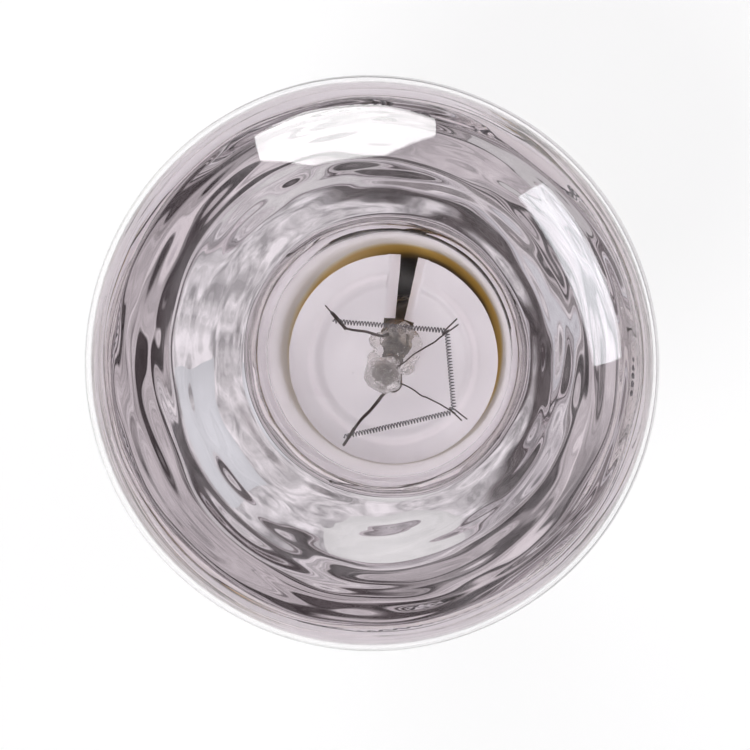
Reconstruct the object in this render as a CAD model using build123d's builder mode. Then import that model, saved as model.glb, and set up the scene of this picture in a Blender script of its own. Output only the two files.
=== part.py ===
from build123d import *

import os
from math import acos, atan2, cos, radians, sin, sqrt

# Infrared heat lamp bulb: a blown reflector bulb with a clear face, its filament mount and a screw cap.
# Millimetres. The origin is the middle of the end contact and +Z runs along the axis to the face.

os.makedirs("parts", exist_ok=True)

# Bulb: sizes of the outside of the glass
overall_length = 170.0
bulb_diameter = 125.0
face_radius = 95.0
rim_radius = 20.0
reflector_radius = 72.0
waist_diameter = 61.8
waist_depth = 74.0
waist_radius = 7.0
shoulder_radius = 14.0
shoulder_slope = 60.0
collar_radius = 4.0
glass_wall = 1.2

# Mirror film inside the glass, drawn thicker than the real one and just clear of the wall
film_thickness = 0.08
film_clearance = 0.1
film_low = 34.0
film_above_rim = 2.0

# Screw cap
thread_crest_diameter = 26.2
thread_root_diameter = 24.1
thread_pitch = 3.63
thread_root_land = 0.5
thread_crest_land = 0.7
thread_shoulder = 0.72
shell_bottom = 6.0
shell_lead_in = 2.6
shell_bore_diameter = 22.8
thread_top = 22.4
collar_land = 1.0
collar_rise = 0.15
skirt_start = 26.0
cap_length = 33.0
skirt_diameter = 30.0
sheet_gauge = 0.4

# End of the cap
contact_diameter = 10.0
contact_thickness = 0.8
contact_bevel = 0.3
solder_flat_diameter = 4.0
solder_diameter = 6.0
solder_height = 0.6
insulator_step = 0.9
insulator_top = 9.0
wire_hole_diameter = 2.4
rim_solder_spread = 10.0
rim_solder_height = 0.7
rim_solder_drop = 1.4

# Neck seal and cement
cement_gap = 0.5
neck_end_height = 27.5
seal_flange_height = 2.0

# Glass stem, measured along its own slightly leaning axis
stem_lean = 1.8
stem_height = 54.5
flare_diameter = 18.0
flare_mouth_diameter = 22.0
flare_mouth_height = 9.0
flare_wall = 1.2
mouth_curl = 0.25
press_width = 18.0
press_thickness = 6.5
press_height = 10.0
press_taper_height = 8.0
exhaust_diameter = 5.0
exhaust_bore_diameter = 2.8
exhaust_drop = 9.0
exhaust_port_diameter = 2.4
exhaust_tip = 1.5
arbor_lean = 5.1
arbor_diameter = 4.0
arbor_length = 21.5
arbor_sink = 2.0
button_diameter = 8.8
button_height = 6.0
button_round = 2.6

# Wires
lead_spacing = 12.0
inner_lead_diameter = 0.9
seal_wire_diameter = 0.6
outer_lead_diameter = 0.4
inner_lead_sink = 4.0
seal_wire_length = 7.0
inner_lead_rise = 10.0
inner_lead_bend = 2.5
clamp_reach = 2.4
support_diameter = 0.44
support_sink = 1.6
support_tail = 4.4
hook_pitch = 0.7
hook_bend = 0.5
hook_clearance = 0.25
wire_clearance = 0.08
outer_lead_bend = 0.8
rim_wire_drop = 1.0
centre_wire_drop = 4.5
centre_wire_straight = 5.0

# Filament: a coil run in three straight sides round the button
coil_diameter = 1.3
coil_corner_radius = 0.9
coil_turn = 4.4
support_reach = 18.0
support_half_angle = 31.5
end_reach = 16.3
end_half_angle = 124.5
coil_overhang = 1.2

# Heat shield
shield_clearance = 2.1
shield_gauge = 0.4
shield_hole_length = 16.0
shield_hole_width = 4.4
bead_diameter = 37.8
bead_width = 3.4
bead_height = 0.9
bead_slope = 1.1
slot_angle = 81.0
slot_overlap = 1.0
slot_inner_width = 7.0
slot_outer_width = 9.4
flap_width = 3.4
flap_fold = 48.0
flap_clearance = 0.6
flap_bend = 0.6
flap_root = 0.5


def finish(piece, name):
    """Label a finished piece and write it under that name."""
    piece.part.label = name
    export_step(piece.part, f"parts/{name}.step")


def turned(plane, angle):
    """Return a plane turned about its own normal by an angle."""
    x_dir = plane.x_dir * cos(radians(angle)) + plane.y_dir * sin(radians(angle))
    return Plane(plane.origin, x_dir=x_dir, z_dir=plane.z_dir)


# The bulb's half section is a chain of tangent arcs and lines. Each centre below is (radius, height),
# and each normal points out of the glass where two stretches of the chain meet.
bulb_radius = bulb_diameter / 2
skirt_inner_radius = skirt_diameter / 2 - sheet_gauge
neck_end_radius = skirt_inner_radius - cement_gap

face_centre = Vector(0, overall_length - face_radius)
rim_offset = bulb_radius - rim_radius
rim_centre = face_centre + Vector(rim_offset, sqrt((face_radius - rim_radius) ** 2 - rim_offset**2))
waist_centre = Vector(waist_diameter / 2 + waist_radius, overall_length - waist_depth)
collar_centre = Vector(neck_end_radius + collar_radius, cap_length + sheet_gauge)

rim_to_waist = waist_centre - rim_centre
to_rim = reflector_radius - rim_radius
to_waist = reflector_radius + waist_radius
along = (to_rim**2 - to_waist**2 + rim_to_waist.length**2) / (2 * rim_to_waist.length)
across = sqrt(to_rim**2 - along**2)
rim_waist_axis = rim_to_waist.normalized()
reflector_centre = rim_centre + rim_waist_axis * along + Vector(rim_waist_axis.Y, -rim_waist_axis.X) * across

shoulder_normal = Vector(cos(radians(shoulder_slope)), -sin(radians(shoulder_slope)))
shoulder_centre = collar_centre - shoulder_normal * (collar_radius + shoulder_radius)
shoulder_to_waist = waist_centre - shoulder_centre
neck_angle = atan2(shoulder_to_waist.Y, shoulder_to_waist.X)
neck_angle -= acos((shoulder_radius + waist_radius) / shoulder_to_waist.length)

face_normal = Vector(0, 1)
rim_normal = (rim_centre - face_centre).normalized()
reflector_normal = (rim_centre - reflector_centre).normalized()
waist_normal = (waist_centre - reflector_centre).normalized()
neck_normal = Vector(cos(neck_angle), sin(neck_angle))
end_normal = Vector(1, 0)


def glass_arc(centre, reach, first, last):
    """Draw the arc about a centre from one outward normal to another; a centre outside has a negative reach."""
    middle = (first + last).normalized()
    return ThreePointArc(centre + first * reach, centre + middle * reach, centre + last * reach)


def glass_line(inset):
    """Draw the bulb's section from the face down to the neck's end, moved inward by an inset.

    Returns the two ends of the line.
    """
    face = glass_arc(face_centre, face_radius - inset, face_normal, rim_normal)
    glass_arc(rim_centre, rim_radius - inset, rim_normal, reflector_normal)
    glass_arc(reflector_centre, reflector_radius - inset, reflector_normal, waist_normal)
    waist = glass_arc(waist_centre, -waist_radius - inset, waist_normal, neck_normal)
    shoulder = glass_arc(shoulder_centre, shoulder_radius - inset, neck_normal, shoulder_normal)
    Line(waist @ 1, shoulder @ 0)
    collar = glass_arc(collar_centre, -collar_radius - inset, shoulder_normal, end_normal)
    end = Line(collar @ 1, (neck_end_radius - inset, neck_end_height))
    return face @ 0, end @ 1


def glass_section(outer_inset, inner_inset):
    """Draw the closed section between two insets of the bulb and return its edges."""
    with BuildLine(Plane.XY) as section:
        outer_top, outer_end = glass_line(outer_inset)
        inner_top, inner_end = glass_line(inner_inset)
        Line(outer_top, inner_top)
        Line(outer_end, inner_end)
    return section.edges()


# Bulb envelope
with BuildPart() as bulb_envelope:
    with BuildSketch(Plane.XZ):
        make_face(glass_section(0, glass_wall))
    revolve(axis=Axis.Z)
finish(bulb_envelope, "bulb_envelope")

# Mirror film, from just above the widest part of the bulb down the neck to its shoulder
film_high = rim_centre.Y + film_above_rim
film_inset = glass_wall + film_clearance
with BuildPart() as mirror_film:
    with BuildSketch(Plane.XZ):
        make_face(glass_section(film_inset, film_inset + film_thickness))
        with Locations((0, (film_low + film_high) / 2)):
            Rectangle(bulb_diameter, film_high - film_low, mode=Mode.INTERSECT)
    revolve(axis=Axis.Z)
finish(mirror_film, "mirror_film")

# Screw shell: a drawn sheet with a rolled round thread, a plain collar and a flared skirt
thread_root_radius = thread_root_diameter / 2
thread_crest_radius = thread_crest_diameter / 2
shell_bore_radius = shell_bore_diameter / 2
shell_lip_radius = shell_bore_radius + sheet_gauge
collar_land_radius = thread_crest_radius + collar_rise
collar_top = thread_top + collar_land
skirt_radius = skirt_diameter / 2

with BuildPart() as screw_shell:
    with BuildSketch(Plane.XZ):
        with BuildLine():
            Polyline(
                (0, shell_bottom),
                (thread_root_radius, shell_bottom),
                (thread_root_radius, thread_top),
                (collar_land_radius, thread_top),
                (collar_land_radius, collar_top),
                (skirt_radius, skirt_start),
                (skirt_radius, cap_length),
                (0, cap_length),
                close=True,
            )
        make_face()
    revolve(axis=Axis.Z)
    # The thread starts below the shell's edge and runs out into the collar
    with BuildLine(Plane.XY.offset(shell_bottom - thread_pitch / 2)):
        helix = Helix(thread_pitch, thread_top - shell_bottom + thread_pitch, thread_root_radius)
    thread_depth = thread_crest_radius - thread_root_radius
    half_ridge = (thread_pitch - thread_root_land) / 2
    with BuildSketch(Plane(helix @ 0, x_dir=(1, 0, 0), z_dir=helix % 0)):
        with BuildLine():
            upper_flank = Polyline(
                (-sheet_gauge, half_ridge),
                (0, half_ridge),
                (thread_depth * thread_shoulder, half_ridge * (1 - thread_shoulder) + thread_crest_land / 2),
                (thread_depth, thread_crest_land / 2),
            )
            lower_flank = mirror(upper_flank, about=Plane.XZ)
            Line(upper_flank @ 0, lower_flank @ 0)
            Line(upper_flank @ 1, lower_flank @ 1)
        make_face()
    sweep(path=helix, is_frenet=True)
    # Round the end of the thread off towards the contact
    with BuildSketch(Plane.XZ):
        with BuildLine():
            lead_in = RadiusArc(
                (shell_lip_radius, shell_bottom),
                (collar_land_radius, shell_bottom + shell_lead_in),
                shell_lead_in,
            )
            Polyline(
                lead_in @ 1,
                (collar_land_radius, thread_top),
                (skirt_radius, thread_top),
                (skirt_radius, cap_length),
                (0, cap_length),
                (0, shell_bottom),
                lead_in @ 0,
            )
        make_face()
    revolve(axis=Axis.Z, mode=Mode.INTERSECT)
    # Hollow inside
    with BuildSketch(Plane.XZ):
        with BuildLine():
            Polyline(
                (0, shell_bottom),
                (shell_bore_radius, shell_bottom),
                (shell_bore_radius, thread_top),
                (collar_land_radius - sheet_gauge, collar_top),
                (skirt_inner_radius, skirt_start),
                (skirt_inner_radius, cap_length),
                (0, cap_length),
                close=True,
            )
        make_face()
    revolve(axis=Axis.Z, mode=Mode.SUBTRACT)
finish(screw_shell, "screw_shell")

# Insulator: black glass moulded into the end of the shell
contact_low = solder_height
contact_high = contact_low + contact_thickness
insulator_low_radius = contact_diameter / 2 + insulator_step
with BuildPart() as insulator:
    with BuildSketch(Plane.XZ):
        with BuildLine():
            Polyline(
                (wire_hole_diameter / 2, contact_high),
                (insulator_low_radius, contact_high),
                (insulator_low_radius + insulator_step, contact_high + insulator_step),
                (shell_bore_radius, shell_bottom),
                (shell_bore_radius, insulator_top),
                (wire_hole_diameter / 2, insulator_top),
                close=True,
            )
        make_face()
    revolve(axis=Axis.Z)
finish(insulator, "insulator")

# End contact, with a hole for the wire that is soldered to it
outer_lead_radius = outer_lead_diameter / 2
with BuildPart() as centre_contact:
    with BuildSketch(Plane.XY.offset(contact_low)):
        Circle(contact_diameter / 2)
        Circle(outer_lead_radius + wire_clearance, mode=Mode.SUBTRACT)
    extrude(amount=contact_thickness)
    chamfer(centre_contact.edges().group_by(Axis.Z)[0].sort_by(SortBy.RADIUS)[-1], contact_bevel)
finish(centre_contact, "centre_contact")

with BuildPart() as centre_solder:
    with BuildSketch(Plane.XZ):
        with BuildLine():
            Polyline(
                (0, 0),
                (solder_flat_diameter / 2, 0),
                (solder_diameter / 2, solder_height),
                (0, solder_height),
                close=True,
            )
        make_face()
    revolve(axis=Axis.Z)
finish(centre_solder, "centre_solder")

# The filament mount stands on the neck's seal and leans a little towards -Y, its rod a little more
stem_tilt = radians(stem_lean)
stem_plane = Plane((0, 0, neck_end_height), x_dir=(1, 0, 0), z_dir=(0, -sin(stem_tilt), cos(stem_tilt)))
stem_axis = Axis(stem_plane.origin, stem_plane.z_dir)
stem_section = Plane(stem_plane.origin, x_dir=stem_plane.x_dir, z_dir=-stem_plane.y_dir)
shield_plane = stem_plane.offset(stem_height)
arbor_tilt = radians(stem_lean + arbor_lean)
arbor_plane = Plane(shield_plane.origin, x_dir=(1, 0, 0), z_dir=(0, -sin(arbor_tilt), cos(arbor_tilt)))
arbor_axis = Axis(arbor_plane.origin, arbor_plane.z_dir)
arbor_section = Plane(arbor_plane.origin, x_dir=arbor_plane.x_dir, z_dir=-arbor_plane.y_dir)

# Corners of the filament in the rod's plane, from one lead round the two supports to the other lead
coil_radius = coil_diameter / 2
support_radius = support_diameter / 2
inner_lead_radius = inner_lead_diameter / 2
coil_lift = coil_radius + support_radius + hook_clearance
coil_level = arbor_length + coil_lift


def corner(reach, angle):
    """Return the point of the filament's plane at a reach from the rod and an angle from its middle."""
    turn = radians(coil_turn + angle)
    return Vector(reach * cos(turn), reach * sin(turn), coil_level)


corners = [
    corner(end_reach, end_half_angle),
    corner(support_reach, support_half_angle),
    corner(support_reach, -support_half_angle),
    corner(end_reach, -end_half_angle),
]
first_run = (corners[0] - corners[1]).normalized()
last_run = (corners[3] - corners[2]).normalized()


def wire(path, diameter):
    """Return a round wire swept along a path."""
    with BuildPart() as swept:
        with BuildSketch(Plane(path @ 0, z_dir=path % 0)):
            Circle(diameter / 2)
        sweep(path=path)
    return swept


def bent_path(points, radii):
    """Return a path of straight runs with rounded corners through points of the lamp's own frame."""
    with BuildLine(Plane.XY) as path:
        FilletPolyline(*points, radius=radii)
    return path.wire()


# Filament, as the outside of its coil
coil_points = [corners[0] + first_run * coil_overhang, *corners[1:3], corners[3] + last_run * coil_overhang]
coil_path = bent_path([arbor_plane.from_local_coords(point) for point in coil_points], [coil_corner_radius] * 2)
filament = wire(coil_path, coil_diameter)
finish(filament, "filament")

# Supports: each leaves the button, goes once round the filament's corner and ends in a short tail
button_radius = button_diameter / 2
supports = []
for number in (1, 2):
    to_last = (corners[number - 1] - corners[number]).normalized()
    to_next = (corners[number + 1] - corners[number]).normalized()
    outward = -(to_last + to_next).normalized()
    corner_cut = coil_corner_radius * (1 / sin(radians(to_last.get_angle(to_next) / 2)) - 1)
    apex = corners[number] - outward * corner_cut
    root = Vector(apex.X, apex.Y).normalized() * (button_radius - support_sink)
    hook = Plane((apex.X, apex.Y, arbor_length), x_dir=outward, z_dir=(0, 0, 1))
    hook_points = [Vector(root.X, root.Y, arbor_length)]
    hook_points += [
        hook.from_local_coords(point)
        for point in (
            (coil_lift, -hook_pitch / 2, 0),
            (coil_lift, -hook_pitch / 4, 2 * coil_lift),
            (-coil_lift, hook_pitch / 4, 2 * coil_lift),
            (-coil_lift, hook_pitch / 2, 0),
            (support_tail, hook_pitch / 2, 0),
        )
    ]
    hook_path = bent_path([arbor_plane.from_local_coords(point) for point in hook_points], [hook_bend] * 4)
    support = wire(hook_path, support_diameter)
    finish(support, f"filament_support_{number}")
    supports.append(support)

# Leads: stiff inner wires that grip the filament's ends, seal wires in the press, thin outer wires to the cap
clamp_lift = coil_radius + inner_lead_radius + wire_clearance
inner_lead_low = stem_height - inner_lead_sink
seal_wire_low = inner_lead_low - seal_wire_length
rim_wire_radius = skirt_inner_radius - cement_gap / 2
rim_wire_height = neck_end_height - rim_wire_drop
inner_leads = []
seal_wires = []
outer_leads = []
for number, sign in enumerate((1, -1), start=1):
    root = lead_spacing / 2 * sign
    outward = turned(arbor_plane, coil_turn + end_half_angle * sign)
    lead_points = [
        stem_plane.from_local_coords((0, root, inner_lead_low)),
        stem_plane.from_local_coords((0, root, stem_height + inner_lead_rise)),
        outward.from_local_coords((end_reach - clamp_reach, 0, coil_level - clamp_lift)),
        outward.from_local_coords((end_reach + clamp_reach, 0, coil_level - clamp_lift)),
        outward.from_local_coords((end_reach + clamp_reach, 0, coil_level + clamp_lift)),
        outward.from_local_coords((end_reach - clamp_reach, 0, coil_level + clamp_lift)),
    ]
    clamp_bend = clamp_lift - wire_clearance
    inner_lead = wire(
        bent_path(lead_points, [inner_lead_bend, inner_lead_bend / 2, clamp_bend, clamp_bend]),
        inner_lead_diameter,
    )
    finish(inner_lead, f"inner_lead_{number}")
    inner_leads.append(inner_lead)

    with BuildPart() as seal_wire:
        with BuildSketch(stem_plane.offset(seal_wire_low)):
            with Locations((0, root)):
                Circle(seal_wire_diameter / 2)
        extrude(amount=seal_wire_length)
    finish(seal_wire, f"seal_wire_{number}")
    seal_wires.append(seal_wire)

rim_wire_points = [
    stem_plane.from_local_coords((0, lead_spacing / 2, seal_wire_low)),
    Vector(0, lead_spacing / 2, rim_wire_height),
    Vector(0, rim_wire_radius, rim_wire_height),
    Vector(0, rim_wire_radius, cap_length),
]
centre_wire_points = [
    stem_plane.from_local_coords((0, -lead_spacing / 2, seal_wire_low)),
    stem_plane.from_local_coords((0, -lead_spacing / 2, -centre_wire_drop)),
    Vector(0, 0, insulator_top + centre_wire_straight),
    Vector(0, 0, contact_low),
]
for number, points in enumerate((rim_wire_points, centre_wire_points), start=1):
    outer_lead = wire(bent_path(points, [outer_lead_bend] * 2), outer_lead_diameter)
    finish(outer_lead, f"outer_lead_{number}")
    outer_leads.append(outer_lead)

# Glass stem: flare, press, exhaust tube, rod and button melted together round the wires
flare_radius = flare_diameter / 2
press_low = stem_height - press_height
taper_low = press_low - press_taper_height
seal_radius = neck_end_radius - glass_wall


def flare_outline(mouth_radius, tube_radius, low, high):
    """Make the face of a flared tube's half section, from its mouth up to a level."""
    with BuildLine(Plane.XY) as outline:
        mouth = ThreePointArc(
            (mouth_radius, low),
            (tube_radius + (mouth_radius - tube_radius) * mouth_curl, low + (flare_mouth_height - low) * mouth_curl),
            (tube_radius, flare_mouth_height),
        )
        Polyline(mouth @ 1, (tube_radius, high), (0, high), (0, low), mouth @ 0)
    make_face(outline.edges())


with BuildPart() as glass_stem:
    with BuildSketch(stem_section):
        flare_outline(flare_mouth_diameter / 2, flare_radius, seal_flange_height / 2, taper_low)
    revolve(axis=stem_axis)
    with BuildSketch(Plane.XY.offset(neck_end_height)):
        Circle(seal_radius)
    extrude(amount=seal_flange_height)
    with BuildSketch(stem_plane.offset(taper_low)):
        Circle(flare_radius)
    with BuildSketch(stem_plane.offset(press_low)):
        Ellipse(press_thickness / 2, press_width / 2)
    loft()
    with BuildSketch(stem_plane.offset(press_low)):
        Ellipse(press_thickness / 2, press_width / 2)
    extrude(amount=press_height)
    # Hollow of the flare, open to the cap
    with BuildSketch(stem_section):
        flare_outline(
            flare_mouth_diameter / 2 - flare_wall,
            flare_radius - flare_wall,
            -seal_flange_height,
            taper_low,
        )
    revolve(axis=stem_axis, mode=Mode.SUBTRACT)
    # Exhaust tube, sealed at its tip, with a port through the press
    with BuildSketch(stem_plane.offset(-exhaust_drop)):
        Circle(exhaust_diameter / 2)
    extrude(amount=exhaust_drop + press_low)
    with BuildSketch(stem_plane.offset(exhaust_tip - exhaust_drop)):
        Circle(exhaust_bore_diameter / 2)
    extrude(amount=exhaust_drop + press_low - exhaust_tip, mode=Mode.SUBTRACT)
    with BuildSketch(Plane(stem_plane.from_local_coords((0, 0, press_low)), z_dir=stem_plane.x_dir)):
        Circle(exhaust_port_diameter / 2)
    extrude(amount=press_width, mode=Mode.SUBTRACT)
    # Rod and button
    with BuildSketch(arbor_plane.offset(-arbor_sink)):
        Circle(arbor_diameter / 2)
    extrude(amount=arbor_sink + arbor_length)
    with BuildSketch(arbor_section):
        with Locations((0, arbor_length)):
            RectangleRounded(button_diameter, button_height, button_round)
        with Locations((-button_diameter / 2, arbor_length)):
            Rectangle(button_diameter, button_height, mode=Mode.SUBTRACT)
    revolve(axis=arbor_axis)
    for held in (*supports, *inner_leads, *seal_wires, *outer_leads):
        add(held.part, mode=Mode.SUBTRACT)
finish(glass_stem, "glass_stem")

# Heat shield: a stamped plate on top of the press, with a raised ring and a slot with two folded flaps
wall_reach = shoulder_radius - glass_wall - (shield_plane.origin.Z - shoulder_centre.Y) * neck_normal.Y
neck_inner_radius = shoulder_centre.X + wall_reach / neck_normal.X
shield_radius = neck_inner_radius - shield_clearance
bead_inner = (bead_diameter - bead_width) / 2
bead_outer = (bead_diameter + bead_width) / 2
slot_start = shield_hole_length / 2 - slot_overlap
slot_plane = turned(shield_plane, slot_angle)
with BuildPart() as heat_shield:
    with BuildSketch(Plane(shield_plane.origin, x_dir=shield_plane.x_dir, z_dir=-shield_plane.y_dir)):
        with BuildLine():
            under = Polyline(
                (0, 0),
                (bead_inner, 0),
                (bead_inner + bead_slope, bead_height),
                (bead_outer - bead_slope, bead_height),
                (bead_outer, 0),
                (shield_radius, 0),
            )
            over = under.moved(Location((0, shield_gauge)))
            add(over)
            Line(under @ 0, over @ 0)
            Line(under @ 1, over @ 1)
        make_face()
    revolve(axis=stem_axis)
    with BuildSketch(shield_plane):
        SlotOverall(shield_hole_length, shield_hole_width, rotation=90)
    extrude(amount=bead_height + shield_gauge, mode=Mode.SUBTRACT)
    with BuildSketch(slot_plane):
        with BuildLine():
            Polyline(
                (slot_start, -slot_inner_width / 2),
                (shield_radius, -slot_outer_width / 2),
                (2 * shield_radius, -slot_outer_width / 2),
                (2 * shield_radius, slot_outer_width / 2),
                (shield_radius, slot_outer_width / 2),
                (slot_start, slot_inner_width / 2),
                close=True,
            )
        make_face()
    extrude(amount=bead_height + shield_gauge, mode=Mode.SUBTRACT)
    for edge_side in (1, -1):
        slot_edge = Line(
            slot_plane.from_local_coords((slot_start, edge_side * slot_inner_width / 2, shield_gauge / 2)),
            slot_plane.from_local_coords((shield_radius, edge_side * slot_outer_width / 2, shield_gauge / 2)),
            mode=Mode.PRIVATE,
        )
        inward = (slot_edge % 0).cross(slot_plane.z_dir) * edge_side
        flap_start = press_width / 2 + flap_clearance - slot_start
        with BuildSketch(Plane(slot_edge @ 0, x_dir=inward, z_dir=slot_edge % 0).offset(flap_start)):
            with BuildLine() as flap_fold_line:
                fold = radians(flap_fold)
                FilletPolyline(
                    (-flap_root, 0),
                    (0, 0),
                    (flap_width * cos(fold), edge_side * flap_width * sin(fold)),
                    radius=flap_bend,
                )
            trace(flap_fold_line.line, shield_gauge)
        extrude(amount=slot_edge.length - flap_start - flap_clearance)
finish(heat_shield, "heat_shield")

# Cement between the neck and the skirt, open where the rim wire passes
with BuildPart() as cap_cement:
    with BuildSketch(Plane.XY.offset(neck_end_height)):
        Circle(skirt_inner_radius)
        Circle(neck_end_radius, mode=Mode.SUBTRACT)
        with Locations((0, skirt_inner_radius)):
            Rectangle(outer_lead_diameter + 2 * wire_clearance, skirt_inner_radius, mode=Mode.SUBTRACT)
    extrude(amount=cap_length - neck_end_height)
finish(cap_cement, "cap_cement")

# Solder over the wire's end on the skirt's edge
with BuildPart() as rim_solder:
    with BuildSketch(Plane.XZ.rotated((0, 0, 90 - rim_solder_spread / 2))):
        with BuildLine():
            Polyline(
                (neck_end_radius, cap_length),
                (neck_end_radius, cap_length + sheet_gauge),
                (skirt_radius, cap_length + rim_solder_height),
                (skirt_radius + rim_solder_height, cap_length),
                (skirt_radius, cap_length - rim_solder_drop),
                (skirt_radius, cap_length),
                close=True,
            )
        make_face()
    revolve(axis=Axis.Z, revolution_arc=rim_solder_spread)
finish(rim_solder, "rim_solder")
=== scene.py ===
import logging
from collections.abc import Callable, Sequence
from dataclasses import dataclass, field
from enum import Enum
from math import acos, asin, atan2, ceil, cos, hypot, pi, radians, sin, sqrt, tau

import bmesh
import bpy
from mathutils import Matrix, Vector, noise


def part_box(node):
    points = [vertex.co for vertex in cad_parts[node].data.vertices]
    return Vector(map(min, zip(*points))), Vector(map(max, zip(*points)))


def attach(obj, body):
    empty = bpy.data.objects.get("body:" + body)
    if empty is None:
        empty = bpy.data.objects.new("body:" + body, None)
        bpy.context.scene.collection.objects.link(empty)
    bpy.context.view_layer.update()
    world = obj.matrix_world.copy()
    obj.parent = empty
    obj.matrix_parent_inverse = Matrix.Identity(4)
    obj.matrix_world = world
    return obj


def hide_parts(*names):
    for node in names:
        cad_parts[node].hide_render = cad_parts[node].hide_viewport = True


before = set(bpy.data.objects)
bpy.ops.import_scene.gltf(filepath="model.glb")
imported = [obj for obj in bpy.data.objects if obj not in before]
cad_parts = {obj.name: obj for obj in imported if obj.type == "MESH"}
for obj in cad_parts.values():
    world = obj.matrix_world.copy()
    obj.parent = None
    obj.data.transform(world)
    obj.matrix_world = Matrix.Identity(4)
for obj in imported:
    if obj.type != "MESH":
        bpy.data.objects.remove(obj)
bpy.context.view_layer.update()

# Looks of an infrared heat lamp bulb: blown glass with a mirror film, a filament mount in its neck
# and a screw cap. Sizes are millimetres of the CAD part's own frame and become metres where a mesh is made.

BODY = "root"
MM = 0.001

# Edges that turn more than this many degrees stay sharp
CREASE = 60.0
SHEET_CREASE = 50.0
CEMENT_CREASE = 70.0

# A wire's softened end: its length and its width, as shares of the wire's radius
TIP_LENGTH = 0.4
TIP_SHARE = 0.6

LOG = logging.getLogger("heat_lamp")

Section = list[tuple[float, float]]
Faces = list[tuple[int, ...]]
Colour = tuple[float, float, float]


class Slot(Enum):
    """Material slots of the part's record."""

    CLEAR_GLASS = "clear_glass"
    MIRROR_FILM = "mirror_film"
    BRIGHT_SHEET = "bright_sheet"
    FILAMENT_WIRE = "filament_wire"
    SUPPORT_WIRE = "support_wire"
    COPPER_WIRE = "copper_wire"
    CAP_BRASS = "cap_brass"
    BLACK_GLASS = "black_glass"
    SOLDER = "solder"
    CEMENT = "cement"


# Shapes that several pieces use


@dataclass
class Shape:
    """Vertices in millimetres and the faces between them."""

    verts: list[Vector] = field(default_factory=list)
    faces: Faces = field(default_factory=list)

    def add(self, other: "Shape") -> "Shape":
        """Join another shape to this one.

        Args:
            other: The shape to take in.

        Returns:
            This shape.
        """
        start = len(self.verts)
        self.verts.extend(other.verts)
        self.faces.extend(tuple(start + index for index in face) for face in other.faces)
        return self

    def moved(self, place: Matrix) -> "Shape":
        """Return this shape carried to another place."""
        return Shape([place @ vert for vert in self.verts], list(self.faces))

    def roughened(self, amount: float, grain: float, seed: float) -> "Shape":
        """Return this shape with every vertex pushed a little by smooth noise.

        Args:
            amount: Furthest push, in millimetres.
            grain: Size of the noise's lumps, in millimetres.
            seed: Offset that gives each piece its own lumps.

        Returns:
            The uneven shape.
        """
        shift = Vector((seed, -seed, 2 * seed))
        verts = [vert + noise.noise_vector(vert / grain + shift) * amount for vert in self.verts]
        return Shape(verts, self.faces)

    def mesh(self, name: str, sharp_angle: float | None = None) -> bpy.types.Mesh:
        """Make a smooth-shaded Blender mesh with its normals outward.

        Args:
            name: The mesh's name.
            sharp_angle: Edges that turn more than this many degrees are left sharp.

        Returns:
            The mesh, in metres.
        """
        mesh = bpy.data.meshes.new(name)
        mesh.from_pydata([vert * MM for vert in self.verts], [], self.faces)
        work = bmesh.new()
        work.from_mesh(mesh)
        bmesh.ops.remove_doubles(work, verts=work.verts, dist=1e-7)
        bmesh.ops.recalc_face_normals(work, faces=work.faces)
        work.to_mesh(mesh)
        work.free()
        mesh.shade_smooth()
        if sharp_angle is not None:
            mesh.set_sharp_from_angle(angle=radians(sharp_angle))
        return mesh


def lathe(section: Sequence[tuple[float, float]], segments: int, closed: bool = True,
          wander: Callable[[float, float], float] | None = None) -> Shape:
    """Turn a half section about the Z axis.

    Args:
        section: Points as (radius, height); a radius of nought is a pole.
        segments: Divisions round the axis.
        closed: Whether the last point joins the first.
        wander: Change of radius at an angle and a height, for hand-blown forms.

    Returns:
        The turned shape.
    """
    shape = Shape()
    rings = []
    for radius, height in section:
        pole = radius < 1e-6
        rings.append((len(shape.verts), pole))
        for step in range(1 if pole else segments):
            angle = tau * step / segments
            reach = radius if pole or wander is None else radius + wander(angle, height)
            shape.verts.append(Vector((reach * cos(angle), reach * sin(angle), height)))
    pairs = list(zip(rings, rings[1:]))
    if closed:
        pairs.append((rings[-1], rings[0]))
    for (first, first_pole), (second, second_pole) in pairs:
        for step in range(segments):
            after = (step + 1) % segments
            low = [first] if first_pole else [first + step, first + after]
            high = [second] if second_pole else [second + after, second + step]
            if len(low) + len(high) > 2:
                shape.faces.append((*low, *high))
    return shape


def loft(rings: Sequence[Sequence[Vector]], capped: bool = True) -> Shape:
    """Skin a row of rings that all have as many points.

    Args:
        rings: The rings, in order.
        capped: Whether the first and last ring are closed with a face.

    Returns:
        The skinned shape.
    """
    count = len(rings[0])
    shape = Shape([point for ring in rings for point in ring])
    for row in range(len(rings) - 1):
        for step in range(count):
            after = (step + 1) % count
            start, above = row * count, (row + 1) * count
            shape.faces.append((start + step, start + after, above + after, above + step))
    if capped:
        shape.faces.append(tuple(reversed(range(count))))
        shape.faces.append(tuple(range((len(rings) - 1) * count, len(rings) * count)))
    return shape


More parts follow.
